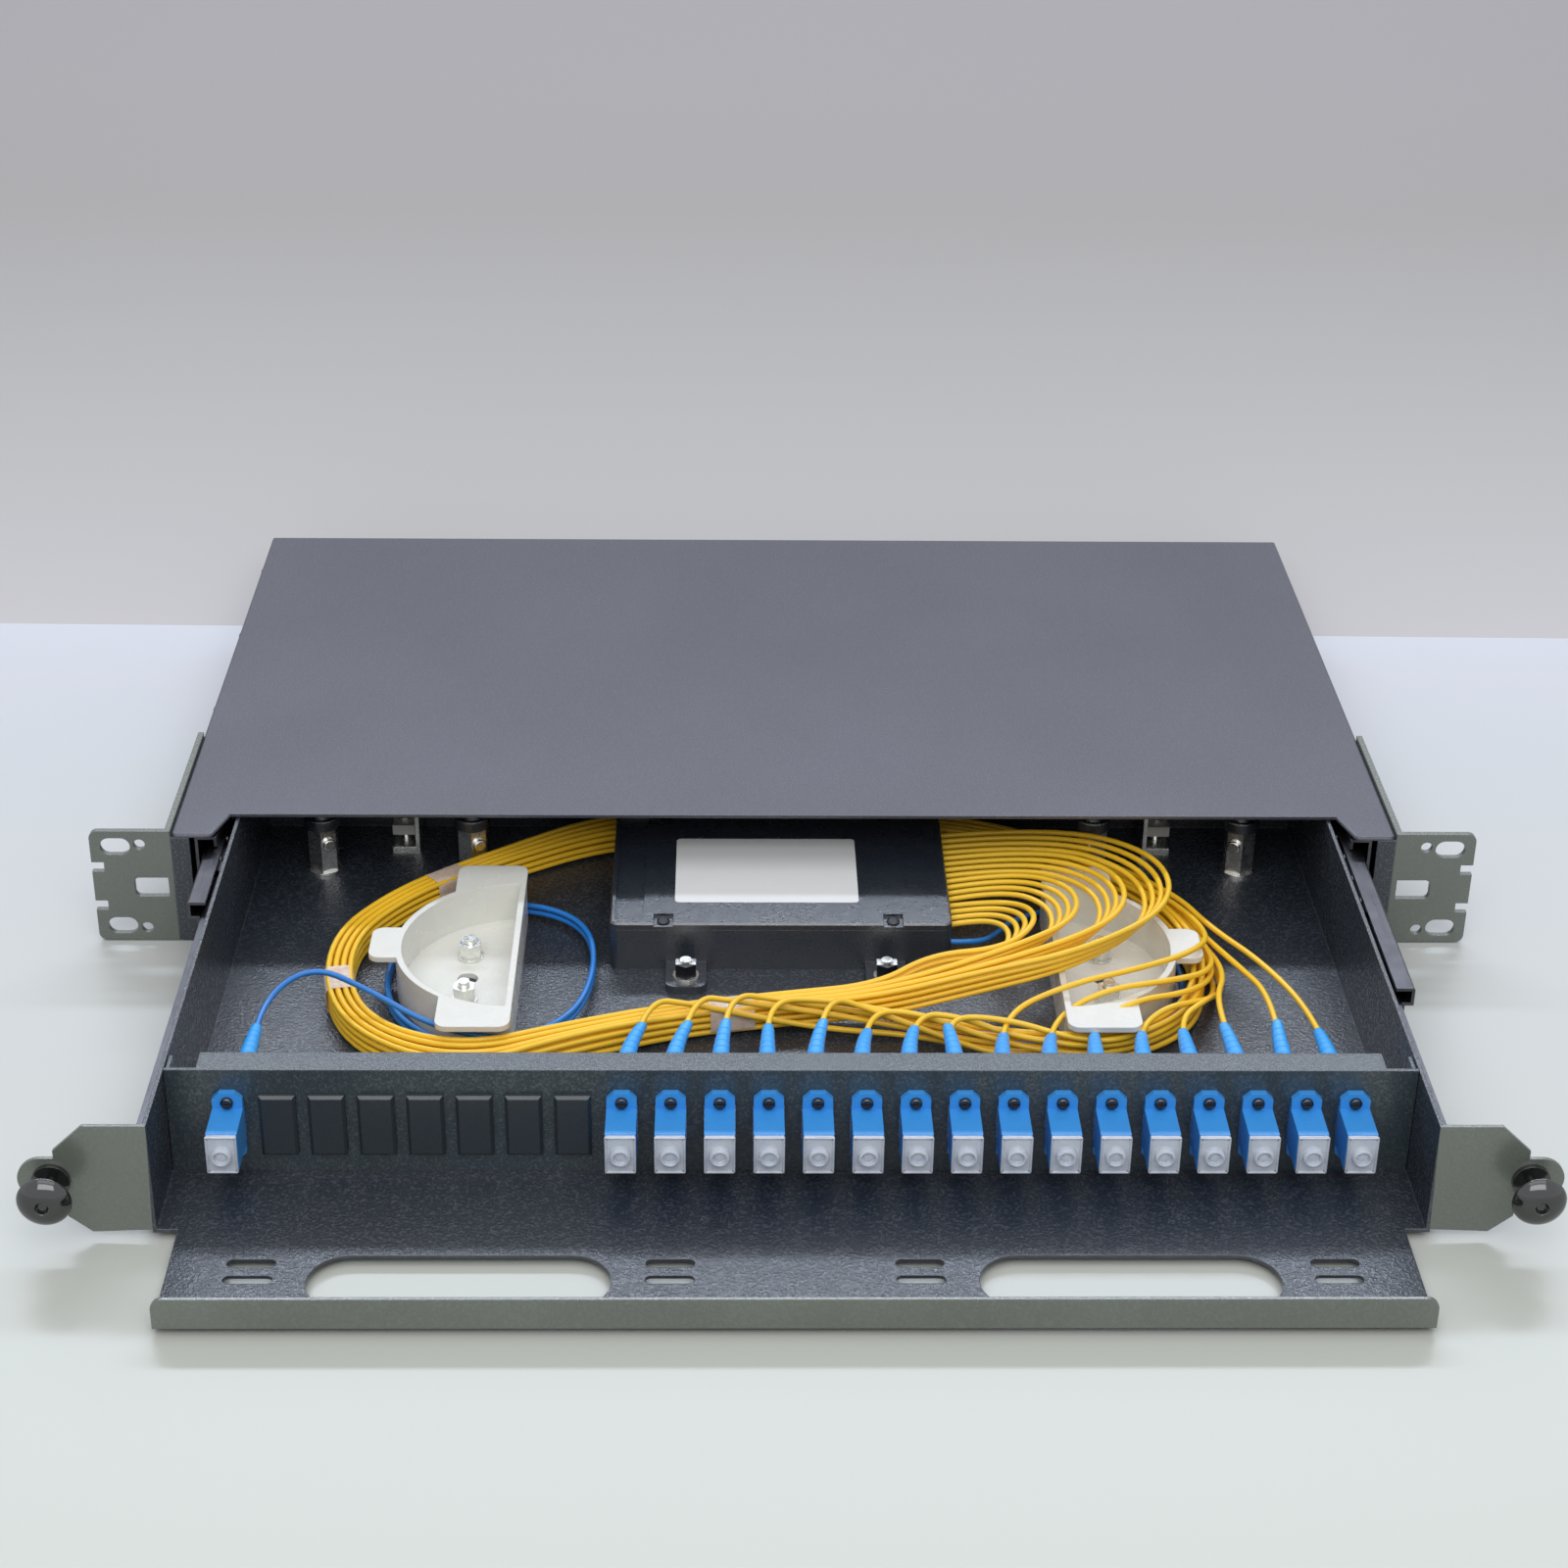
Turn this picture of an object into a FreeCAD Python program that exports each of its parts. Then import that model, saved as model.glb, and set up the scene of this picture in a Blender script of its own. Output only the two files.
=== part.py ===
"""Rack drawer panel with a 1x16 PLC fibre splitter: 1U chassis, ball slides, drawer, splitter, fibres.

Millimetres, +Z up, +X to the right seen from the front, +Y into the rack.  Lengths along Z are
counted from the chassis floor, and every piece is then lowered by rack_hole_mid, so that the origin
lies at the middle of the four rack slots, on the front plane of the rack ears.
"""
import FreeCAD, Part
import math
import os
import re

import Sketcher
from FreeCAD import Placement, Rotation, Vector

SIZES = (
    # name, millimetres (or a count), what it is
    ("rack_pitch_x", 465.1, "slot to slot across the rack"),
    ("rack_pitch_z", 31.75, "slot to slot up the rack"),
    ("rack_hole_mid", 22.0, "middle of the rack slots above the chassis floor"),
    ("ear_overall", 482.6, "over both rack ears"),
    ("ear_height", 43.8, "rack ear height"),
    ("ear_sheet", 2.0, "rack ear sheet"),
    ("ear_leg", 75.0, "side leg of the rack ear, front to back"),
    ("ear_slot_length", 10.4, "rack slot, end to end"),
    ("ear_slot_width", 6.5, "rack slot width"),
    ("ear_hole", 4.0, "small round hole beside each slot"),
    ("ear_hole_x", 224.1, "small round hole from the middle"),
    ("ear_notch_width", 3.7, "label notch in the outer edge of the ear"),
    ("ear_notch_end", 237.0, "inner end of the label notch"),
    ("ear_notch_rise", 7.7, "label notch from the middle of the ear"),
    ("latch_slot_end", 227.0, "outer end of the slot that takes the latch"),
    ("latch_slot_height", 7.5, "slot that takes the latch"),
    ("chassis_width", 426.4, "chassis over its side walls"),
    ("chassis_depth", 257.6, "chassis front to back"),
    ("chassis_height", 42.6, "chassis with its cover"),
    ("chassis_sheet", 1.2, "chassis sheet"),
    ("front_return", 6.5, "inward return at the front of each side wall"),
    ("cover_setback", 15.0, "cover edge behind the front plane"),
    ("cover_tongue_in", 199.0, "inner corner of the cover tongue at the front"),
    ("cover_notch_half", 194.5, "half width of the cover notch at its back"),
    ("cover_flange", 9.0, "flange under the cover, beside the side wall"),
    ("side_screw", 2.8, "side screw shank"),
    ("side_screw_clearance", 0.3, "side screw hole over its shank"),
    ("side_screw_head", 5.6, "side screw head"),
    ("side_screw_cap", 1.4, "side screw head height"),
    ("side_screw_length", 5.0, "side screw under its head"),
    ("ear_screw_rise", 8.0, "rack ear screws above and below the middle"),
    ("ear_hole_shift", 0.8, "small round holes beyond half the rack pitch"),
    ("standoff_front", 22.0, "slide stand-offs behind the front plane"),
    ("standoff_depth", 30.0, "slide stand-off front to back"),
    ("standoff_foot", 8.0, "foot of a slide stand-off"),
    ("standoff_half", 9.0, "half height of a slide stand-off"),
    ("cable_slot_x", 138.0, "cable entry from the middle, and cable clamp"),
    ("cable_slot_length", 52.0, "cable entry, end to end"),
    ("cable_slot_height", 16.0, "cable entry height"),
    ("slide_mid", 21.6, "middle of the slides above the chassis floor"),
    ("slide_outer_x", 205.3, "outside face of the outer member"),
    ("slide_outer_half", 18.9, "half height of the outer member"),
    ("slide_outer_front", 2.2, "front end of the outer member"),
    ("slide_outer_length", 250.0, "outer member length"),
    ("slide_lip_x", 197.6, "inner edge of the outer member's lips"),
    ("slide_sheet", 1.1, "slide sheet"),
    ("middle_x", 202.2, "outside face of the middle member's race"),
    ("middle_web_x", 199.3, "outside face of the middle member's web"),
    ("middle_lip_x", 196.0, "inner edge of the middle member's lips"),
    ("middle_half", 14.5, "half height of the middle member"),
    ("middle_step", 9.1, "race step of the middle member, from its middle"),
    ("middle_length", 240.0, "middle member length"),
    ("middle_home", 3.0, "front end of the middle member with the drawer shut"),
    ("inner_lip_x", 197.2, "outer edge of the inner member's lips"),
    ("inner_half", 10.7, "half height of the inner member"),
    ("outer_ball", 2.9, "ball between outer and middle member"),
    ("outer_ball_x", 200.9, "outer ball row from the middle"),
    ("inner_ball", 2.5, "ball between middle and inner member"),
    ("inner_ball_x", 196.1, "inner ball row from the middle"),
    ("cage_sheet", 0.5, "ball cage strip"),
    ("cage_edge", 0.4, "strip edge beyond the balls"),
    ("outer_cage_x", 203.4, "outside face of the outer cage"),
    ("outer_cage_length", 100.0, "outer cage length"),
    ("outer_cage_home", 66.0, "front end of the outer cage with the drawer shut"),
    ("inner_cage_x", 197.95, "outside face of the inner cage"),
    ("inner_cage_length", 60.0, "inner cage length"),
    ("inner_cage_home", 95.0, "front end of the inner cage with the drawer shut"),
    ("cage_balls", 4, "balls in each row of a cage"),
    ("slide_gap", 0.5, "curled lip of the outer member over the middle member"),
    ("cage_gap", 0.2, "hole in a cage over its ball"),
    ("inner_setback", 1.3, "inner member behind the drawer ear"),
    ("drawer_open", 171.0, "how far the drawer stands open"),
    ("left_middle_out", 38.0, "how far the left middle member is drawn out"),
    ("right_middle_out", 91.0, "how far the right middle member is drawn out"),
    ("drawer_half", 192.6, "half width of the drawer"),
    ("drawer_sheet", 1.2, "drawer sheet"),
    ("drawer_floor", 2.3, "underside of the drawer floor"),
    ("drawer_top", 40.9, "top of the drawer walls"),
    ("drawer_front", -172.4, "front plane of the drawer ears"),
    ("drawer_back", 78.2, "back face of the drawer"),
    ("apron_half", 185.0, "half width of the apron"),
    ("apron_front", -217.9, "front face of the apron lip"),
    ("lip_height", 10.5, "apron lip"),
    ("small_slot_length", 14.7, "tie slot length"),
    ("small_slot_width", 4.0, "tie slot width"),
    ("small_slot_outer_x", 160.7, "outer tie slots from the middle"),
    ("small_slot_inner_x", 37.0, "inner tie slots from the middle"),
    ("small_slot_back_y", -189.0, "rear row of tie slots"),
    ("small_slot_front_y", -196.8, "front row of tie slots"),
    ("big_slot_x", 98.9, "large slot from the middle"),
    ("big_slot_length", 89.5, "large slot length"),
    ("big_slot_width", 25.0, "large slot width"),
    ("big_slot_y", -197.7, "middle of the large slots"),
    ("stud_height", 10.0, "studs above the drawer floor"),
    ("tie_hole", 3.0, "small holes in the drawer floor"),
    ("tie_hole_x", 163.6, "small holes from the middle"),
    ("tie_hole_y", 58.6, "small holes behind the front plane"),
    ("back_notch_z", 12.8, "floor of the cable notches in the back wall"),
    ("drawer_ear_foot", 210.3, "top and bottom corners of the drawer ear"),
    ("drawer_ear_shoulder", 219.6, "widest straight part of the drawer ear"),
    ("drawer_ear_bevel", 2.4, "how far the foot of the drawer ear is drawn in"),
    ("drawer_ear_lift", 0.4, "lower corner of the drawer ear over the drawer floor"),
    ("drawer_ear_knee", 6.1, "where the drawer ear begins to widen"),
    ("drawer_ear_fall", 8.8, "where the drawer ear begins to narrow, from its top"),
    ("tab_x", 223.4, "centre of the round tab on the drawer ear"),
    ("tab_radius", 7.6, "round tab radius"),
    ("latch_x", 220.8, "latch axis from the middle"),
    ("latch_z", 21.7, "latch axis above the chassis floor"),
    ("grommet_bore", 3.4, "bore of the latch grommet"),
    ("grommet_leg", 5.6, "legs of the latch grommet"),
    ("grommet_slack", 0.4, "hole for the grommet over its legs"),
    ("grommet_sheet", 1.6, "flange of the latch grommet, front to back"),
    ("grommet_slit", 0.5, "half width of the slit between the legs"),
    ("grommet_flange", 11.5, "flange of the latch grommet"),
    ("grommet_reach", 6.5, "legs of the latch grommet behind the ear"),
    ("plunger_pin", 3.2, "pin of the latch plunger"),
    ("plunger_head", 16.4, "head of the latch plunger"),
    ("plunger_stroke", 6.0, "how far the plunger is pushed in to lock"),
    ("plunger_rest", 0.3, "air left under the plunger when it is pushed in"),
    ("plunger_tail", 5.5, "plunger pin beyond its stroke"),
    ("plunger_collar", 4.0, "collar of the plunger over its pin"),
    ("plunger_collar_sheet", 1.4, "collar of the plunger, front to back"),
    ("plunger_head_front", 4.6, "front of the plunger head before its seat"),
    ("plunger_head_depth", 3.2, "plunger head, front to back"),
    ("plunger_head_round", 1.4, "rounding of the plunger head"),
    ("plunger_dish", 1.2, "recess in the plunger head, from just before it"),
    ("plunger_dish_start", 4.7, "start of the recess before the seat"),
    ("plunger_dish_share", 0.55, "recess as a share of the plunger head"),
    ("panel_face", -142.6, "front face of the adapter panel"),
    ("panel_half", 191.2, "half width of the adapter panel"),
    ("panel_sheet", 1.2, "adapter panel sheet"),
    ("panel_flange", 9.6, "flanges of the adapter panel, front to back"),
    ("ports", 24, "adapter openings"),
    ("port_pitch", 15.0, "opening to opening"),
    ("port_z", 21.5, "middle of the openings above the chassis floor"),
    ("port_width", 9.7, "opening width"),
    ("port_height", 13.2, "opening height"),
    ("adapter_width", 9.4, "adapter body width"),
    ("adapter_height", 12.9, "adapter body height"),
    ("adapter_front", 13.4, "adapter in front of its flange"),
    ("adapter_rear", 13.0, "adapter behind the panel face"),
    ("adapter_flange_width", 9.3, "adapter flange width"),
    ("adapter_flange_height", 24.4, "adapter flange height"),
    ("adapter_flange", 2.0, "adapter flange thickness"),
    ("adapter_wall", 0.9, "wall of the adapter's cavities"),
    ("adapter_web", 1.5, "wall between the two cavities of an adapter"),
    ("sleeve", 3.6, "ceramic alignment sleeve"),
    ("sleeve_bore", 2.6, "bore of the alignment sleeve"),
    ("sleeve_length", 9.0, "alignment sleeve length"),
    ("ferrule", 2.5, "ferrule diameter"),
    ("cap_width", 9.5, "rim plate of a dust cap, across"),
    ("cap_height", 13.0, "rim plate of a dust cap, up"),
    ("cap_rim", 2.0, "rim plate of a dust cap, front to back"),
    ("cap_stem_short", 2.5, "dust cap stem short of its full reach"),
    ("cap_wall", 0.8, "wall of the dust cap stem"),
    ("cap_boss", 6.4, "round boss on a dust cap"),
    ("cap_stem", 8.0, "dust cap inside the adapter"),
    ("plug_width", 7.4, "plug body width"),
    ("plug_height", 9.0, "plug body height"),
    ("plug_clearance", 0.1, "plug to adapter cavity, each side"),
    ("plug_grip_side", 0.6, "grip of the plug beyond its body, each side"),
    ("plug_grip_rise", 0.3, "grip of the plug beyond its body, above and below"),
    ("plug_gap", 0.5, "plug body behind the sleeve"),
    ("ferrule_gap", 0.1, "tip of the ferrule from the middle of the adapter"),
    ("fibre_bore_depth", 8.0, "bore for the fibre into the plug"),
    ("fibre_bore", 0.6, "bore for the fibre over its jacket"),
    ("adapter_screw_rise", 8.8, "adapter screws above and below the middle"),
    ("adapter_screw", 2.0, "adapter screw shank"),
    ("adapter_screw_slack", 0.3, "adapter screw hole over its shank"),
    ("screw_head", 3.8, "adapter screw head"),
    ("screw_cap", 1.3, "adapter screw head height"),
    ("screw_slot", 0.3, "half width of the slot in an adapter screw"),
    ("screw_slot_share", 0.3, "half length of the slot as a share of the head"),
    ("screw_length", 6.0, "adapter screw under its head"),
    ("boot", 6.4, "boot at the plug"),
    ("boot_end", 3.4, "boot at its tip"),
    ("boot_ribs", 5, "ribs on a boot"),
    ("boot_bore", 0.2, "bore of the boot round the fibre, each side"),
    ("boot_groove", 0.5, "grooves between the ribs of a boot"),
    ("boot_rear", -114.0, "where the boot leaves the plug"),
    ("boot_tip", -87.0, "rear tip of the boot"),
    ("blank_width", 11.2, "blank plug cover width"),
    ("blank_height", 21.8, "blank plug cover height"),
    ("blank_rise", 2.3, "blank plug in front of the panel"),
    ("case_left", -60.8, "left face of the splitter case"),
    ("case_right", 57.2, "right face of the splitter case"),
    ("case_front", -24.2, "front face of the splitter case"),
    ("case_depth", 80.0, "splitter case front to back"),
    ("case_height", 18.2, "splitter case with its lid"),
    ("case_wall", 2.0, "splitter case wall"),
    ("case_ear", 3.0, "mounting ears of the splitter case"),
    ("case_ear_width", 14.0, "mounting ear, across"),
    ("case_ear_reach", 16.5, "mounting ear in front of the case"),
    ("lid_sheet", 2.6, "splitter lid"),
    ("lid_screw_left", -42.3, "left lid screws"),
    ("lid_screw_right", 36.9, "right lid screws"),
    ("lid_screw_inset", 3.4, "lid screws from the edge of the case"),
    ("lid_screw_shelf", 6.8, "shelf round a lid screw"),
    ("lid_screw_head", 4.4, "lid screw head"),
    ("lid_screw", 2.2, "lid screw shank"),
    ("lid_screw_length", 8.0, "lid screw under its head"),
    ("lid_recess_left", -59.0, "left edge of the sunk strip in the lid"),
    ("lid_recess_right", -49.2, "right edge of the sunk strip in the lid"),
    ("label_left", -38.5, "left edge of the label place"),
    ("label_right", 42.2, "right edge of the label place"),
    ("label_front", -9.4, "front edge of the label place"),
    ("label_sheet", 0.3, "label thickness"),
    ("input_exit_y", -20.5, "input exit behind the front plane"),
    ("input_exit_z", 12.5, "input exit above the chassis floor"),
    ("chip_length", 60.0, "splitter module, across"),
    ("chip_width", 12.0, "splitter module, front to back"),
    ("chip_height", 4.0, "splitter module, up"),
    ("exit_z", 16.0, "fibre exits above the chassis floor"),
    ("exit_bore", 2.2, "fibre exit bore"),
    ("exit_pitch", 4.2, "fibre exit to fibre exit"),
    ("outputs", 16, "output fibres"),
    ("first_exit_y", -15.6, "front fibre exit of the outputs"),
    ("spool_x", 91.0, "flat side of a spool from the middle"),
    ("spool_y", -34.0, "middle of the spools"),
    ("spool_radius", 42.0, "spool wall radius"),
    ("spool_wall", 2.2, "spool wall"),
    ("spool_floor", 2.0, "spool floor and wings"),
    ("spool_eye", 7.0, "hole in the spool floor"),
    ("spool_height", 16.5, "spool height"),
    ("spool_wing_reach", 52.5, "front and rear wing from the spool middle"),
    ("spool_wing_width", 24.5, "front and rear wing width"),
    ("spool_side_reach", 50.5, "side wing from the flat side"),
    ("spool_side_half", 9.8, "half width of the side wing"),
    ("spool_nut_x", 109.0, "spool studs from the middle"),
    ("spool_nut_half", 14.0, "spool studs in front of and behind the spool middle"),
    ("stud", 4.0, "stud diameter"),
    ("nut_flats", 7.0, "nut across flats"),
    ("nut_height", 5.0, "nut height"),
    ("nut_washer", 9.0, "washer under a nut"),
    ("nut_washer_sheet", 1.0, "washer thickness"),
    ("thread_gap", 0.2, "bore over the stud or screw in it"),
    ("post_flats", 10.0, "strength post across flats"),
    ("post_height", 18.5, "strength post height"),
    ("post_outer_x", 167.4, "outer strength posts from the middle"),
    ("post_inner_x", 113.0, "inner strength posts from the middle"),
    ("post_y", 45.0, "strength posts behind the front plane"),
    ("post_washer", 13.0, "round washer on a strength post, and its collar"),
    ("post_washer_sheet", 4.5, "washer height"),
    ("post_collar", 1.2, "collar at the foot of a post"),
    ("post_screw", 4.0, "screw down into a post"),
    ("post_screw_head", 7.2, "head of that screw"),
    ("post_screw_cap", 2.4, "height of that head"),
    ("post_screw_length", 12.0, "that screw under its head"),
    ("post_side_screw_z", 16.0, "side screw of a post above the chassis floor"),
    ("post_side_head", 5.0, "head of a side screw"),
    ("post_side_cap", 1.6, "height of that head"),
    ("case_stud_x", 34.4, "splitter studs from the middle"),
    ("case_stud_y", -34.0, "splitter studs behind the front plane"),
    ("clamp_y", 58.3, "front edge of the cable clamps"),
    ("clamp_depth", 16.0, "cable clamp front to back"),
    ("clamp_x", 134.0, "inner face of the cable clamps"),
    ("clamp_width", 10.0, "cable clamp width"),
    ("clamp_sheet", 1.5, "cable clamp sheet"),
    ("clamp_air", 0.3, "clamp saddle beside the upright of its bracket"),
    ("clamp_top", 19.5, "top of the cable clamp's leg"),
    ("clamp_bolt", 3.0, "bolt through the cable clamp"),
    ("clamp_bolt_head", 5.6, "head of that bolt"),
    ("clamp_bolt_cap", 2.0, "height of that head"),
    ("saddle_low", 9.0, "underside of the clamp saddle"),
    ("saddle_height", 4.0, "clamp saddle height"),
    ("fibre", 2.0, "fibre jacket diameter"),
    ("fibre_entry", 8.0, "fibre inside the tip of its boot"),
    ("lane_pitch", 2.3, "output fibre to output fibre, across the bundle"),
    ("row_pitch", 2.5, "output fibre to output fibre, up the bundle"),
    ("row_low", 5.0, "lowest row of the bundle above the chassis floor"),
    ("tape", 0.2, "tape thickness"),
    ("tape_gap", 0.4, "tape round the bundle, each side"),
    ("tape_length", 13.0, "tape along the bundle"),
)

doc = FreeCAD.newDocument("splitter_drawer")
sheet = doc.addObject("Spreadsheet::Sheet", "Sizes")
for row, (name, number, meaning) in enumerate(SIZES, start=1):
    sheet.set(f"A{row}", name)
    sheet.set(f"B{row}", str(number))
    sheet.set(f"C{row}", meaning)
    sheet.setAlias(f"B{row}", name)
doc.recompute()

nodes = []

NEAR = 0.01  # millimetres, for choosing an edge by where it lies


# --- helpers ---------------------------------------------------------------------------------


def linked(words):
    """An expression for a property: each size's name is looked up in the sheet."""
    return re.sub(r"[a-z_]+", lambda word: SHEET_NAME.get(word[0], word[0]), words)


SHEET_NAME = {entry[0]: "Sizes." + entry[0] for entry in SIZES}


def size(words):
    """The number that an expression of sizes comes to."""
    return float(sheet.evalExpression(linked(words)))


def lower(thing):
    """Counts a piece's heights from the middle of the rack slots."""
    thing.setExpression("Placement.Base.z", linked("-rack_hole_mid"))


def node(thing, label):
    """Makes an object a sub-part of its own, under its file's name."""
    thing.Label = label
    nodes.append(thing)
    return thing


class Piece:
    """A PartDesign body that is built from sketches on its own origin planes."""

    # plane: does a pad run towards -axis unless it is reversed, and how does the offset count
    BACKWARDS = {"XY_Plane": False, "XZ_Plane": True, "YZ_Plane": False}

    def __init__(self, label, is_node=True):
        self.body = doc.addObject("PartDesign::Body", label)
        if is_node:
            node(self.body, label)
            lower(self.body)

    def sketch(self, plane, start, loops):
        """A sketch at start along the plane's own axis; every point is bound to the sheet."""
        sketch = self.body.newObject("Sketcher::SketchObject", self.body.Name + "_sketch")
        origin_plane = [f for f in self.body.Origin.OriginFeatures if f.Role == plane][0]
        sketch.AttachmentSupport = [(origin_plane, "")]
        sketch.MapMode = "FlatFace"
        offset = f"-({start})" if self.BACKWARDS[plane] else start
        sketch.setExpression("AttachmentOffset.Base.z", linked(offset))
        for loop in loops:
            loop.draw(sketch)
        return sketch

    def pad(self, plane, start, length, *loops):
        """Adds material from start, length long, towards the plane's plus axis."""
        feature = self.body.newObject("PartDesign::Pad", self.body.Name + "_pad")
        feature.Profile = self.sketch(plane, start, loops)
        feature.Reversed = self.BACKWARDS[plane]
        feature.setExpression("Length", linked(length))
        return feature

    def cut(self, plane, start, length, *loops):
        """Takes material away from start, length long, towards the plane's plus axis."""
        before = self.volume()
        feature = self.body.newObject("PartDesign::Pocket", self.body.Name + "_pocket")
        feature.Profile = self.sketch(plane, start, loops)
        feature.Reversed = not self.BACKWARDS[plane]
        feature.setExpression("Length", linked(length))
        if self.volume() >= before - 1e-6:
            raise ValueError(f"a cut in {self.body.Label} takes nothing away")
        return feature

    def spin(self, plane, start, *loops):
        """Adds a turned form about the sketch's upright axis."""
        feature = self.body.newObject("PartDesign::Revolution", self.body.Name + "_turned")
        sketch = self.sketch(plane, start, loops)
        feature.Profile = sketch
        feature.ReferenceAxis = (sketch, ["V_Axis"])
        feature.Angle = 360.0
        return feature

    def row(self, feature, axis, pitch, count):
        """Repeats a feature along an axis of the body."""
        pattern = self.body.newObject("PartDesign::LinearPattern", self.body.Name + "_row")
        pattern.Originals = [feature]
        line = [f for f in self.body.Origin.OriginFeatures if f.Role == axis][0]
        pattern.Direction = (line, [""])
        pattern.setExpression("Length", linked(f"({pitch}) * (({count}) - 1)"))
        pattern.setExpression("Occurrences", linked(count))
        self.body.Tip = pattern
        return pattern

        return twin

    def round(self, radius, wanted, kind="PartDesign::Fillet"):
        """Rounds (or chamfers) the edges whose middle and direction the test wants."""
        doc.recompute()
        base = self.body.Tip
        names = [
            f"Edge{index}"
            for index, edge in enumerate(base.Shape.Edges, start=1)
            if wanted(middle_of(edge), heading_of(edge))
        ]
        if not names:
            raise ValueError(f"no edge of {self.body.Label} to round")
        feature = self.body.newObject(kind, self.body.Name + "_edge")
        feature.Base = (base, names)
        value = "Radius" if kind == "PartDesign::Fillet" else "Size"
        feature.setExpression(value, linked(radius))
        return feature

    def volume(self):
        doc.recompute()
        return self.body.Shape.Volume


def middle_of(edge):
    return edge.valueAt((edge.FirstParameter + edge.LastParameter) / 2)


def heading_of(edge):
    """The axis that an edge runs along, or an empty word."""
    run = edge.valueAt(edge.LastParameter) - edge.valueAt(edge.FirstParameter)
    if run.Length < 1e-6:
        return ""
    for axis, part in zip("XYZ", (run.x, run.y, run.z)):
        if abs(part) > 0.999 * run.Length:
            return axis
    return ""


def bind(sketch, kind, geometry, position, words):
    """One dimension of a sketch, bound to the sheet."""
    number = size(words)
    if position is None:
        index = sketch.addConstraint(Sketcher.Constraint(kind, geometry, number))
    else:
        index = sketch.addConstraint(Sketcher.Constraint(kind, geometry, position, number))
    sketch.setExpression(f"Constraints[{index}]", linked(words))


class Outline:
    """A closed run of straight edges; each corner is a pair of expressions."""

    def __init__(self, *corners):
        self.corners = corners

    def draw(self, sketch):
        places = [Vector(size(across), size(up), 0) for across, up in self.corners]
        first = sketch.GeometryCount
        count = len(places)
        for index, place in enumerate(places):
            line = Part.LineSegment(place, places[(index + 1) % count])
            sketch.addGeometry(line, False)
        for index, (across, up) in enumerate(self.corners):
            following = first + (index + 1) % count
            sketch.addConstraint(Sketcher.Constraint("Coincident", first + index, 2, following, 1))
            bind(sketch, "DistanceX", first + index, 1, across)
            bind(sketch, "DistanceY", first + index, 1, up)


class Circle:
    def __init__(self, across, up, diameter):
        self.across, self.up, self.diameter = across, up, diameter

    def draw(self, sketch):
        centre = Vector(size(self.across), size(self.up), 0)
        circle = Part.Circle(centre, Vector(0, 0, 1), size(self.diameter) / 2)
        index = sketch.addGeometry(circle, False)
        bind(sketch, "Radius", index, None, f"({self.diameter}) / 2")
        bind(sketch, "DistanceX", index, 3, self.across)
        bind(sketch, "DistanceY", index, 3, self.up)


class Slot:
    """A slot with round ends between two centres on one level line."""

    def __init__(self, left, right, up, width):
        self.left, self.right, self.up, self.width = left, right, up, width

    def draw(self, sketch):
        left, right, up = size(self.left), size(self.right), size(self.up)
        radius = size(self.width) / 2
        first = sketch.GeometryCount
        axis = Vector(0, 0, 1)
        quarter = math.pi / 2
        right_end = Part.Circle(Vector(right, up, 0), axis, radius)
        left_end = Part.Circle(Vector(left, up, 0), axis, radius)
        top, bottom = up + radius, up - radius
        sketch.addGeometry(Part.ArcOfCircle(right_end, -quarter, quarter), False)
        sketch.addGeometry(Part.LineSegment(Vector(right, top, 0), Vector(left, top, 0)), False)
        sketch.addGeometry(Part.ArcOfCircle(left_end, quarter, 3 * quarter), False)
        sketch.addGeometry(Part.LineSegment(Vector(left, bottom, 0), Vector(right, bottom, 0)), False)
        ends = ((0, 2, 1, 1), (1, 2, 2, 1), (2, 2, 3, 1), (3, 2, 0, 1))
        for one, one_end, other, other_end in ends:
            joined = (first + one, one_end, first + other, other_end)
            sketch.addConstraint(Sketcher.Constraint("Tangent", *joined))
        sketch.addConstraint(Sketcher.Constraint("Equal", first, first + 2))
        bind(sketch, "Radius", first, None, f"({self.width}) / 2")
        bind(sketch, "DistanceX", first, 3, self.right)
        bind(sketch, "DistanceY", first, 3, self.up)
        bind(sketch, "DistanceX", first + 2, 3, self.left)


def box(left, right, low, high):
    """A rectangle between two levels across and two levels up."""
    return Outline((left, low), (right, low), (right, high), (left, high))


def compound(label, members, is_node=True):
    """Separate solids that are kept as one sub-part."""
    thing = doc.addObject("Part::Compound", label)
    thing.Links = members
    if is_node:
        node(thing, label)
        lower(thing)
    return thing


def placed(master, across, back, up, turn=Rotation()):
    """A copy of a master piece at a place that is bound to the sheet."""
    copy = doc.addObject("Part::Compound", master.body.Name + "_copy")
    copy.Links = [master.body]
    copy.Placement = Placement(Vector(), turn)
    for axis, words in zip("xyz", (across, back, up)):
        copy.setExpression(f"Placement.Base.{axis}", linked(words))
    return copy


SIDES = (("left", "-1"), ("right", "1"))


# --- chassis ---------------------------------------------------------------------------------


COVER_SCREWS = [
    (back, "chassis_height - chassis_sheet - cover_flange / 2")
    for back in ("ear_leg + 30", "ear_leg + 95", "chassis_depth - 25")
]
EAR_SCREWS = [
    (back, f"rack_hole_mid {up} ear_screw_rise")
    for back in ("ear_leg / 6", "5 * ear_leg / 6")
    for up in ("-", "+")
]


def side_holes(piece, start, length, places):
    """Screw holes through a wall that stands across X."""
    circles = [Circle(back, up, "side_screw + side_screw_clearance") for back, up in places]
    piece.cut("YZ_Plane", start, length, *circles)


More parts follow.
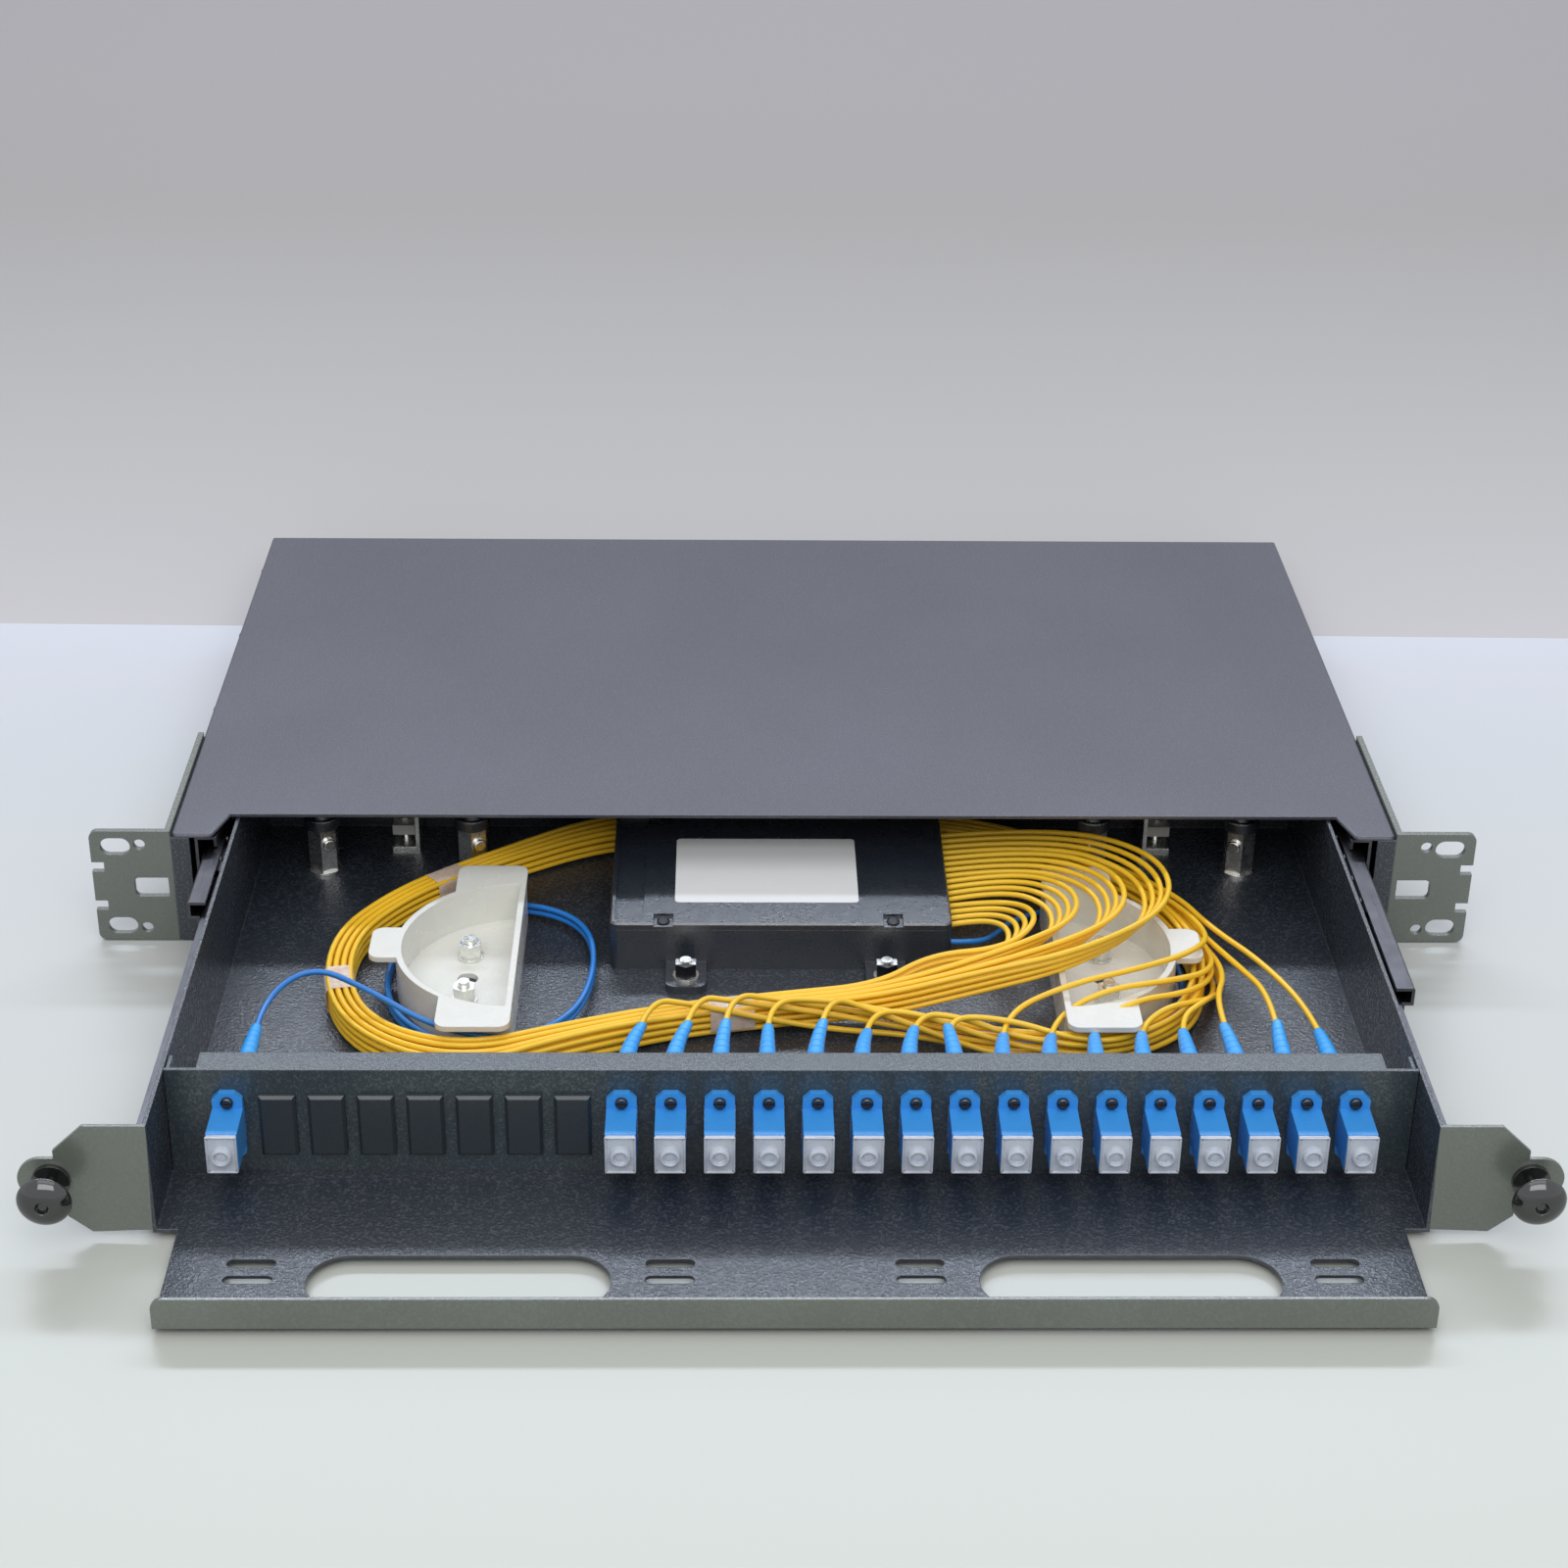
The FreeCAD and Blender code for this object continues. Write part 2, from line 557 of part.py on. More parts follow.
def chassis_base():
    base = Piece("chassis_base")
    half, metal = "chassis_width / 2", "chassis_sheet"
    top = "chassis_height - chassis_sheet"
    base.pad("XY_Plane", "0", metal, box(f"-{half}", half, "0", "chassis_depth"))
    walls = Outline(
        (f"-{half}", "0"),
        (f"-{half} + front_return", "0"),
        (f"-{half} + front_return", metal),
        (f"-{half} + {metal}", metal),
        (f"-{half} + {metal}", f"chassis_depth - {metal}"),
        (f"{half} - {metal}", f"chassis_depth - {metal}"),
        (f"{half} - {metal}", metal),
        (f"{half} - front_return", metal),
        (f"{half} - front_return", "0"),
        (half, "0"),
        (half, "chassis_depth"),
        (f"-{half}", "chassis_depth"),
    )
    base.pad("XY_Plane", metal, f"{top} - {metal}", walls)
    entries = [
        Slot(
            f"{side} * cable_slot_x - (cable_slot_length - cable_slot_height) / 2",
            f"{side} * cable_slot_x + (cable_slot_length - cable_slot_height) / 2",
            "slide_mid",
            "cable_slot_height",
        )
        for _, side in SIDES
    ]
    base.cut("XZ_Plane", f"chassis_depth - 2 * {metal}", f"3 * {metal}", *entries)
    side_holes(base, f"-{half} - 1", f"{metal} + 2", COVER_SCREWS + EAR_SCREWS)
    side_holes(base, f"{half} - {metal} - 1", f"{metal} + 2", COVER_SCREWS + EAR_SCREWS)
    reach = size(half)
    base.round(
        "1.5 * chassis_sheet",
        lambda at, along: along == "Y" and abs(abs(at.x) - reach) < NEAR and at.z < NEAR,
    )


def chassis_cover():
    cover = Piece("chassis_cover")
    half, metal = "chassis_width / 2", "chassis_sheet"
    under = "chassis_height - chassis_sheet"
    plate = Outline(
        (f"-{half}", "0"),
        ("-cover_tongue_in", "0"),
        ("-cover_notch_half", "cover_setback"),
        ("cover_notch_half", "cover_setback"),
        ("cover_tongue_in", "0"),
        (half, "0"),
        (half, "chassis_depth"),
        (f"-{half}", "chassis_depth"),
    )
    cover.pad("XY_Plane", under, metal, plate)
    hem = [
        Outline(
            (f"{side} * ({half} - {metal})", "cover_setback + 5"),
            (f"{side} * ({half} - {metal})", f"chassis_depth - 8 * {metal}"),
            (f"{side} * ({half} - 2 * {metal})", f"chassis_depth - 8 * {metal}"),
            (f"{side} * ({half} - 2 * {metal})", "cover_setback + 5"),
        )
        for _, side in SIDES
    ]
    cover.pad("XY_Plane", f"{under} - cover_flange", "cover_flange", *hem)
    side_holes(cover, f"-{half}", f"3 * {metal}", COVER_SCREWS)
    side_holes(cover, f"{half} - 3 * {metal}", f"3 * {metal}", COVER_SCREWS)
    reach, front = size(half), size("cover_tongue_in")
    cover.round(
        "2 * chassis_sheet",
        lambda at, along: along == "Z"
        and at.y < NEAR
        and min(abs(abs(at.x) - reach), abs(abs(at.x) - front)) < NEAR,
    )
    level = size("chassis_height")
    cover.round(
        "0.9 * chassis_sheet",
        lambda at, along: along == "Y" and abs(at.z - level) < NEAR and abs(at.x) > reach - NEAR,
    )


def rack_ear(name, side):
    """An angle of sheet: the front flange has the rack slots, the leg lies on the chassis side."""
    ear = Piece(f"rack_ear_{name}")
    wall = f"{side} * chassis_width / 2"
    tip = f"{side} * ear_overall / 2"
    leg = f"{side} * (chassis_width / 2 + ear_sheet)"
    low = "rack_hole_mid - ear_height / 2"
    angle = Outline(
        (wall, "0"), (tip, "0"), (tip, "ear_sheet"), (leg, "ear_sheet"), (leg, "ear_leg"), (wall, "ear_leg")
    )
    ear.pad("XY_Plane", low, "ear_height", angle)
    mid = f"{side} * rack_pitch_x / 2"
    span = "(ear_slot_length - ear_slot_width) / 2"
    slots = [
        Slot(f"{mid} - {span}", f"{mid} + {span}", f"rack_hole_mid {up} rack_pitch_z / 2", "ear_slot_width")
        for up in ("-", "+")
    ]
    holes = [
        Circle(
            f"{side} * ear_hole_x",
            f"rack_hole_mid {up} (rack_pitch_z / 2 + ear_hole_shift)",
            "ear_hole",
        )
        for up in ("-", "+")
    ]
    ear.cut("XZ_Plane", "-ear_sheet", "3 * ear_sheet", *slots, *holes)
    half = "ear_notch_width / 2"
    notches = [
        box(
            f"{side} * ear_notch_end",
            f"{side} * (ear_overall / 2 + 1)",
            f"rack_hole_mid {up} ear_notch_rise - {half}",
            f"rack_hole_mid {up} ear_notch_rise + {half}",
        )
        for up in ("-", "+")
    ]
    ear.cut("XZ_Plane", "-ear_sheet", "3 * ear_sheet", *notches)
    latch = box(
        f"{side} * (chassis_width / 2 + ear_sheet)",
        f"{side} * latch_slot_end",
        "latch_z - latch_slot_height / 2",
        "latch_z + latch_slot_height / 2",
    )
    ear.cut("XZ_Plane", "-ear_sheet", "3 * ear_sheet", latch)
    if side == "1":
        side_holes(ear, f"{wall} - 1", "ear_sheet + 2", EAR_SCREWS)
    else:
        side_holes(ear, f"{wall} - ear_sheet - 1", "ear_sheet + 2", EAR_SCREWS)
    reach = size("ear_overall / 2")
    bottom, top = size(low), size(f"{low} + ear_height")
    ear.round(
        "1.5 * ear_sheet",
        lambda at, along: along == "Y"
        and abs(abs(at.x) - reach) < NEAR
        and min(abs(at.z - bottom), abs(at.z - top)) < NEAR,
    )
    slot_end = size("latch_slot_end")
    ear.round(
        "latch_slot_height / 4",
        lambda at, along: along == "Y" and abs(abs(at.x) - slot_end) < NEAR,
    )


def turned(label, plane, corners):
    """A turned piece about the upright axis of a sketch, as a master for copies."""
    piece = Piece(label, is_node=False)
    piece.spin(plane, "0", Outline(*corners))
    return piece


def chassis_screws():
    """Pan head screws: through the side walls into the cover hem, and through each ear leg."""
    screw = turned(
        "side_screw_master",
        "XZ_Plane",
        (
            ("0", "-side_screw_length"),
            ("side_screw / 2", "-side_screw_length"),
            ("side_screw / 2", "0"),
            ("side_screw_head / 2", "0"),
            ("side_screw_head / 2", "side_screw_cap / 2"),
            ("side_screw_head / 3", "side_screw_cap"),
            ("0", "side_screw_cap"),
        ),
    )
    members = []
    for _, side in SIDES:
        turn = Rotation(Vector(0, 1, 0), 90 * float(side))
        seats = [("chassis_width / 2", places) for places in COVER_SCREWS]
        seats += [("chassis_width / 2 + ear_sheet", places) for places in EAR_SCREWS]
        for wall, (back, up) in seats:
            members.append(placed(screw, f"{side} * ({wall})", back, up, turn))
    compound("chassis_screws", members)


def slide_standoffs():
    """Hat brackets that hold the outer members away from the side walls."""
    hats = Piece("slide_standoffs")
    inside, outside, metal = "slide_outer_x", "(chassis_width / 2 - chassis_sheet)", "chassis_sheet"
    low, high = "slide_mid - standoff_half", "slide_mid + standoff_half"
    loops = []
    for _, side in SIDES:
        for front in ("standoff_front", "(chassis_depth - 2 * standoff_front - standoff_depth)"):
            back = f"{front} + standoff_depth"
            corners = (
                (outside, front),
                (f"{outside} - {metal}", front),
                (f"{outside} - {metal}", f"{front} + standoff_foot"),
                (inside, f"{front} + standoff_foot"),
                (inside, f"{back} - standoff_foot"),
                (f"{outside} - {metal}", f"{back} - standoff_foot"),
                (f"{outside} - {metal}", back),
                (outside, back),
                (outside, f"{back} - standoff_foot - {metal}"),
                (f"{inside} + {metal}", f"{back} - standoff_foot - {metal}"),
                (f"{inside} + {metal}", f"{front} + standoff_foot + {metal}"),
                (outside, f"{front} + standoff_foot + {metal}"),
            )
            loops.append(Outline(*((f"{side} * ({x})", y) for x, y in corners)))
    hats.pad("XY_Plane", low, f"({high}) - ({low})", *loops)


# --- ball slides -----------------------------------------------------------------------------


def up_down(side, corners):
    """A section that is the same above and below the slide's middle: (x, height) up one side."""
    above = [(f"{side} * ({x})", f"slide_mid + ({z})") for x, z in corners]
    below = [(f"{side} * ({x})", f"slide_mid - ({z})") for x, z in reversed(corners)]
    return Outline(*above, *below)


def slide_outer(name, side):
    """The fixed member: a channel whose lips are curled to hold the balls."""
    member = Piece(f"slide_outer_{name}")
    half, metal = "slide_outer_half", "slide_sheet"
    section = up_down(
        side,
        (
            (f"slide_outer_x - {metal}", f"{half} - {metal}"),
            (f"slide_lip_x + {metal}", f"{half} - {metal}"),
            (f"slide_lip_x + {metal}", "middle_half + slide_gap"),
            ("slide_lip_x", "middle_half + slide_gap"),
            ("slide_lip_x", half),
            ("slide_outer_x", half),
        ),
    )
    member.pad("XZ_Plane", "slide_outer_front", "slide_outer_length", section)


def slide_middle(name, side):
    """The floating member: a web with a race on each edge, open towards the drawer."""
    member = Piece(f"slide_middle_{name}")
    metal = "slide_sheet"
    section = up_down(
        side,
        (
            (f"middle_web_x - {metal}", "middle_step"),
            (f"middle_x - {metal}", "middle_step"),
            (f"middle_x - {metal}", f"middle_half - {metal}"),
            ("middle_lip_x", f"middle_half - {metal}"),
            ("middle_lip_x", "middle_half"),
            ("middle_x", "middle_half"),
            ("middle_x", f"middle_step - {metal}"),
            ("middle_web_x", f"middle_step - {metal}"),
        ),
    )
    member.pad("XZ_Plane", f"middle_home - {name}_middle_out", "middle_length", section)
    reach, top = size("middle_x"), size("slide_mid + middle_half")
    bottom = size("slide_mid - middle_half")
    member.round(
        f"0.8 * {metal}",
        lambda at, along: along == "Y"
        and abs(abs(at.x) - reach) < NEAR
        and min(abs(at.z - top), abs(at.z - bottom)) < NEAR,
    )


def slide_inner(name, side):
    """The drawer's member: a channel screwed flat on the drawer wall."""
    member = Piece(f"slide_inner_{name}")
    metal = "slide_sheet"
    section = up_down(
        side,
        (
            ("drawer_half", "inner_half"),
            ("inner_lip_x", "inner_half"),
            ("inner_lip_x", f"inner_half - {metal}"),
            (f"drawer_half + {metal}", f"inner_half - {metal}"),
        ),
    )
    start = "drawer_front + drawer_sheet + inner_setback"
    member.pad("XZ_Plane", start, f"drawer_back - ({start})", section)


def ball_cage(kind, name, side, row_height, front):
    """A strip bent round the member inside it, with a row of balls through each edge."""
    strip = Piece(f"cage_{kind}_{name}_strip", is_node=False)
    x, ball, length = f"{kind}_cage_x", f"{kind}_ball", f"{kind}_cage_length"
    edge = f"{side} * ({kind}_ball_x - {ball} / 2 - cage_edge)"
    half = f"({row_height} + cage_sheet / 2)"
    section = Outline(
        (edge, f"slide_mid + {half}"),
        (f"{side} * {x}", f"slide_mid + {half}"),
        (f"{side} * {x}", f"slide_mid - {half}"),
        (edge, f"slide_mid - {half}"),
        (edge, f"slide_mid - {half} + cage_sheet"),
        (f"{side} * ({x} - cage_sheet)", f"slide_mid - {half} + cage_sheet"),
        (f"{side} * ({x} - cage_sheet)", f"slide_mid + {half} - cage_sheet"),
        (edge, f"slide_mid + {half} - cage_sheet"),
    )
    strip.pad("XZ_Plane", front, length, section)
    pitch = f"{length} / cage_balls"
    holes = [
        Circle(f"{side} * {kind}_ball_x", f"{front} + {pitch} * {index + 0.5}", f"{ball} + cage_gap")
        for index in range(int(size("cage_balls")))
    ]
    strip.cut("XY_Plane", f"slide_mid - {half} - 1", f"2 * {half} + 2", *holes)
    members = [strip.body]
    for index in range(int(size("cage_balls"))):
        for up in ("-", "+"):
            sphere = doc.addObject("Part::Sphere", f"cage_{kind}_{name}_ball")
            sphere.setExpression("Radius", linked(f"{ball} / 2"))
            sphere.setExpression("Placement.Base.x", linked(f"{side} * {kind}_ball_x"))
            sphere.setExpression("Placement.Base.y", linked(f"{front} + {pitch} * {index + 0.5}"))
            sphere.setExpression("Placement.Base.z", linked(f"slide_mid {up} {row_height}"))
            members.append(sphere)
    compound(f"ball_cage_{kind}_{name}", members)


def slides(name, side):
    """One telescopic slide; each cage has rolled half as far as the members beside it."""
    slide_outer(name, side)
    slide_middle(name, side)
    slide_inner(name, side)
    drawn = f"{name}_middle_out"
    outer_row = "(middle_half + slide_outer_half - slide_sheet) / 2"
    inner_row = "(inner_half + middle_half - slide_sheet) / 2"
    ball_cage("outer", name, side, outer_row, f"(outer_cage_home - {drawn} / 2)")
    ball_cage("inner", name, side, inner_row, f"(inner_cage_home - (drawer_open + {drawn}) / 2)")


# --- drawer ----------------------------------------------------------------------------------


STUDS = (
    [(f"{side} * spool_nut_x", f"spool_y {back} spool_nut_half") for _, side in SIDES for back in "-+"]
    + [(f"{side} * case_stud_x", "case_stud_y") for _, side in SIDES]
)


def drawer_tray():
    """One folded sheet: floor with its apron, walls turned into the front ears, back wall."""
    tray = Piece("drawer_tray")
    half, metal = "drawer_half", "drawer_sheet"
    floor_top = f"drawer_floor + {metal}"
    floor = Outline(
        (f"-{half}", "drawer_front"),
        ("-apron_half", "drawer_front"),
        ("-apron_half", "apron_front"),
        ("apron_half", "apron_front"),
        ("apron_half", "drawer_front"),
        (half, "drawer_front"),
        (half, "drawer_back"),
        (f"-{half}", "drawer_back"),
    )
    tray.pad("XY_Plane", "drawer_floor", metal, floor)
    for _, side in SIDES:
        wall = box(f"{side} * ({half} - {metal})", f"{side} * {half}", "drawer_front", "drawer_back")
        tray.pad("XY_Plane", floor_top, f"drawer_top - ({floor_top})", wall)
        tray.pad("XZ_Plane", "drawer_front", metal, drawer_ear(side))
        tab = Slot(
            f"{side} * (tab_x - 6)" if side == "1" else f"{side} * tab_x",
            f"{side} * tab_x" if side == "1" else f"{side} * (tab_x - 6)",
            "latch_z",
            "2 * tab_radius",
        )
        tray.pad("XZ_Plane", "drawer_front", metal, tab)
        eye = Circle(f"{side} * latch_x", "latch_z", "grommet_leg + grommet_slack")
        tray.cut("XZ_Plane", f"drawer_front - {metal}", f"3 * {metal}", eye)
    lip_top = "drawer_floor + lip_height"
    tray.pad("XZ_Plane", "apron_front", metal, box("-apron_half", "apron_half", floor_top, lip_top))
    tray.pad("XZ_Plane", f"drawer_back - {metal}", metal, back_wall(floor_top))
    tray.cut("XY_Plane", f"drawer_floor - {metal}", f"3 * {metal}", *apron_slots())
    tie_holes = [Circle(f"{side} * tie_hole_x", "tie_hole_y", "tie_hole") for _, side in SIDES]
    tray.cut("XY_Plane", f"drawer_floor - {metal}", f"3 * {metal}", *tie_holes)
    pegs = [Circle(across, back, "stud") for across, back in STUDS]
    tray.pad("XY_Plane", floor_top, "stud_height", *pegs)
    corner, top = size("apron_half"), size(lip_top)
    tray.round(
        "0.35 * lip_height",
        lambda at, along: along == "Y" and abs(abs(at.x) - corner) < NEAR and abs(at.z - top) < NEAR,
    )


def drawer_ear(side):
    """Front ear of the drawer, without the round tab that carries the latch."""
    return Outline(
        (f"{side} * (drawer_half - drawer_sheet)", "drawer_floor + drawer_sheet"),
        (f"{side} * drawer_ear_foot", "drawer_floor + drawer_ear_lift"),
        (f"{side} * (drawer_ear_shoulder - drawer_ear_bevel)", "drawer_floor + drawer_ear_knee"),
        (f"{side} * drawer_ear_shoulder", "latch_z"),
        (f"{side} * drawer_ear_shoulder", "drawer_top - drawer_ear_fall"),
        (f"{side} * drawer_ear_foot", "drawer_top"),
        (f"{side} * (drawer_half - drawer_sheet)", "drawer_top"),
    )


def back_wall(low):
    """Back of the drawer, with an open notch for the cables behind each pair of clamps."""
    edge = "(drawer_half - drawer_sheet)"
    near, far = ("(cable_slot_x - cable_slot_length / 2)", "(cable_slot_x + cable_slot_length / 2)")
    return Outline(
        (f"-{edge}", low),
        (edge, low),
        (edge, "drawer_top"),
        (far, "drawer_top"),
        (far, "back_notch_z"),
        (near, "back_notch_z"),
        (near, "drawer_top"),
        (f"-{near}", "drawer_top"),
        (f"-{near}", "back_notch_z"),
        (f"-{far}", "back_notch_z"),
        (f"-{far}", "drawer_top"),
        (f"-{edge}", "drawer_top"),
    )


def apron_slots():
    loops = []
    for _, side in SIDES:
        for across in ("small_slot_outer_x", "small_slot_inner_x"):
            for back in ("small_slot_back_y", "small_slot_front_y"):
                reach = "(small_slot_length - small_slot_width) / 2"
                middle = f"{side} * {across}"
                loops.append(Slot(f"{middle} - {reach}", f"{middle} + {reach}", back, "small_slot_width"))
        reach = "(big_slot_length - big_slot_width) / 2"
        middle = f"{side} * big_slot_x"
        loops.append(Slot(f"{middle} - {reach}", f"{middle} + {reach}", "big_slot_y", "big_slot_width"))
    return loops


def latch(name, side):
    """Push latch: a grommet clipped in the drawer ear, and the plunger that spreads its legs."""
    across = f"{side} * latch_x"
    grommet = Piece(f"latch_grommet_{name}")
    flange = "grommet_sheet"
    grommet.pad(
        "XZ_Plane",
        f"drawer_front - {flange}",
        flange,
        Circle(across, "latch_z", "grommet_flange"),
        Circle(across, "latch_z", "grommet_bore"),
    )
    grommet.pad(
        "XZ_Plane",
        "drawer_front",
        "drawer_sheet + grommet_reach",
        Circle(across, "latch_z", "grommet_leg"),
        Circle(across, "latch_z", "grommet_bore"),
    )
    slit = box(
        f"{across} - grommet_slit",
        f"{across} + grommet_slit",
        "latch_z - grommet_leg",
        "latch_z + grommet_leg",
    )
    grommet.cut("XZ_Plane", "drawer_front + 2 * drawer_sheet", "grommet_reach", slit)

    plunger = Piece(f"latch_plunger_{name}")
    seat = f"drawer_front - {flange} - plunger_stroke - plunger_rest"
    plunger.pad("XZ_Plane", seat, "plunger_stroke + plunger_tail", Circle(across, "latch_z", "plunger_pin"))
    collar = "plunger_collar_sheet"
    disc = Circle(across, "latch_z", "plunger_pin + plunger_collar")
    plunger.pad("XZ_Plane", f"{seat} - {collar}", collar, disc)
    head = Circle(across, "latch_z", "plunger_head")
    plunger.pad("XZ_Plane", f"{seat} - plunger_head_front", "plunger_head_depth", head)
    rim = size(f"{seat} - plunger_head_front")
    radius = size("plunger_head / 2")
    plunger.round("plunger_head_round", round_rim(rim, radius, size(across)))
    dish = Circle(across, "latch_z", "plunger_head * plunger_dish_share")
    plunger.cut("XZ_Plane", f"{seat} - plunger_dish_start", "plunger_dish", dish)


def round_rim(level, radius, across):
    """Picks the whole circle on the front of a disc."""
    return lambda at, along: abs(at.y - level) < NEAR and abs(abs(at.x - across)) <= radius + NEAR


# --- adapter panel ---------------------------------------------------------------------------


PORTS = int(size("ports"))
FITTED = [0] + list(range(8, PORTS))
BLANKED = [port for port in range(PORTS) if port not in FITTED]


def port_x(port):
    """Middle of a port's opening; ports are counted from the left."""
    return f"({port} - (ports - 1) / 2) * port_pitch"


def adapter_panel():
    """A folded plate across the drawer with a row of openings, each between two screw holes."""
    panel = Piece("adapter_panel")
    low, high = "drawer_floor + drawer_sheet", "drawer_top"
    plate = box("-panel_half", "panel_half", low, high)
    panel.pad("XZ_Plane", "panel_face", "panel_sheet", plate)
    behind = "panel_face + panel_sheet"
    for level in (low, f"{high} - panel_sheet"):
        flange = box("-panel_half + panel_flange", "panel_half - panel_flange", behind,
                     "panel_face + panel_flange")
        panel.pad("XY_Plane", level, "panel_sheet", flange)
    tabs = [
        box(f"{side} * panel_half", f"{side} * (panel_half - panel_sheet)", behind,
            "panel_face + panel_flange")
        for _, side in SIDES
    ]
    panel.pad("XY_Plane", f"{low} + panel_sheet", f"{high} - ({low}) - 2 * panel_sheet", *tabs)
    first = port_x(0)
    opening = box(
        f"{first} - port_width / 2",
        f"{first} + port_width / 2",
        "port_z - port_height / 2",
        "port_z + port_height / 2",
    )
    holes = [Circle(first, f"port_z {up} adapter_screw_rise", "adapter_screw") for up in ("-", "+")]
    cut = panel.cut("XZ_Plane", "panel_face - panel_sheet", "3 * panel_sheet", opening, *holes)
    panel.row(cut, "X_Axis", "port_pitch", "ports")


def adapter_master():
    """An SC adapter: a flanged square tube with a cavity at each end and a sleeve between them."""
    adapter = Piece("adapter_master", is_node=False)
    half_width, half_height = "adapter_width / 2", "adapter_height / 2"
    front = "panel_face - adapter_flange - adapter_front"
    length = "adapter_front + adapter_flange + adapter_rear"
    body = box(f"-{half_width}", half_width, f"port_z - {half_height}", f"port_z + {half_height}")
    adapter.pad("XZ_Plane", front, length, body)
    across, up = "adapter_flange_width / 2", "adapter_flange_height / 2"
    chamfer = "adapter_flange_width / 4"
    flange = Outline(
        (f"-{across}", f"port_z - {up} + {chamfer}"),
        (f"-{across} + {chamfer}", f"port_z - {up}"),
        (f"{across} - {chamfer}", f"port_z - {up}"),
        (across, f"port_z - {up} + {chamfer}"),
        (across, f"port_z + {up} - {chamfer}"),
        (f"{across} - {chamfer}", f"port_z + {up}"),
        (f"-{across} + {chamfer}", f"port_z + {up}"),
        (f"-{across}", f"port_z + {up} - {chamfer}"),
    )
    wide = "adapter_screw + adapter_screw_slack"
    screws = [Circle("0", f"port_z {way} adapter_screw_rise", wide) for way in ("-", "+")]
    adapter.pad("XZ_Plane", "panel_face - adapter_flange", "adapter_flange", flange, *screws)
    bay_width, bay_height = f"{half_width} - adapter_wall", "plug_height / 2 + plug_clearance"
    bay = box(f"-({bay_width})", bay_width, f"port_z - ({bay_height})", f"port_z + {bay_height}")
    depth = f"({length} - adapter_web) / 2"
    adapter.cut("XZ_Plane", f"{front} - 1", f"{depth} + 1", bay)
    adapter.cut("XZ_Plane", f"{front} + {depth} + adapter_web", f"{depth} + 1", bay)
    adapter.pad(
        "XZ_Plane",
        f"{front} + ({length} - sleeve_length) / 2",
        "sleeve_length",
        Circle("0", "port_z", "sleeve"),
    )
    adapter.cut(
        "XZ_Plane",
        f"{front} + ({length} - sleeve_length) / 2 - 1",
        "sleeve_length + 2",
        Circle("0", "port_z", "sleeve_bore"),
    )
    return adapter


def adapter_parts():
    """Adapters in the fitted ports with their screws, caps, plugs and boots; plugs in the rest."""
    adapter = adapter_master()
    for number, port in enumerate(FITTED, start=1):
        lower_copy = placed(adapter, port_x(port), "0", "-rack_hole_mid")
        node(lower_copy, f"sc_adapter_{number:02d}")
    fitted = [port_x(port) for port in FITTED]
    screw = screw_master()
    screws = []
    for across in fitted:
        for up in ("-", "+"):
            height = f"port_z {up} adapter_screw_rise"
            screws.append(placed(screw, across, "panel_face - adapter_flange", height))
    compound("adapter_screws", screws)
    for label, master in (
        ("dust_caps", cap_master()),
        ("sc_connectors", plug_master()),
        ("connector_boots", boot_master()),
    ):
        compound(label, [placed(master, across, "0", "port_z") for across in fitted])
    blank = blank_master()
    compound("blank_plugs", [placed(blank, port_x(port), "0", "port_z") for port in BLANKED])


def screw_master():
    """A small pan head screw that lies along Y, head to the front."""
    screw = Piece("adapter_screw_master", is_node=False)
    screw.pad("XZ_Plane", "0", "screw_length", Circle("0", "0", "adapter_screw"))
    screw.pad("XZ_Plane", "-screw_cap", "screw_cap", Circle("0", "0", "screw_head"))
    level = size("-screw_cap")
    screw.round("screw_cap / 3", lambda at, along: abs(at.y - level) < NEAR, "PartDesign::Chamfer")
    screw.cut(
        "XZ_Plane",
        "-screw_cap",
        "screw_cap / 2",
        box(
            "-screw_slot_share * screw_head",
            "screw_slot_share * screw_head",
            "-screw_slot",
            "screw_slot",
        ),
    )
    return screw


def cap_master():
    """A dust cap: a hollow stem in the front cavity, a rim plate and a round boss."""
    cap = Piece("cap_master", is_node=False)
    front = "panel_face - adapter_flange - adapter_front"
    stem = box("-plug_width / 2", "plug_width / 2", "-plug_height / 2", "plug_height / 2")
    rim = box("-cap_width / 2", "cap_width / 2", "-cap_height / 2", "cap_height / 2")
    cap.pad("XZ_Plane", front, "cap_stem - cap_stem_short", stem)
    cap.pad("XZ_Plane", f"{front} - cap_rim", "cap_rim", rim)
    cap.pad("XZ_Plane", f"{front} - 2 * cap_rim", "cap_rim", Circle("0", "0", "cap_boss"))
    hollow = "cap_wall"
    core = box(
        f"-plug_width / 2 + {hollow}",
        f"plug_width / 2 - {hollow}",
        f"-plug_height / 2 + {hollow}",
        f"plug_height / 2 - {hollow}",
    )
    cap.cut("XZ_Plane", f"{front} + {hollow}", "cap_stem", core)
    corner, top = size("cap_width / 2"), size("cap_height / 2")
    cap.round(
        "cap_width / 8",
        lambda at, along: along == "Y" and abs(abs(at.x) - corner) < NEAR and abs(abs(at.z) - top) < NEAR,
    )
    level = size(f"{front} - 2 * cap_rim")
    cap.round("cap_rim / 4", lambda at, along: abs(at.y - level) < NEAR, "PartDesign::Chamfer")
    return cap


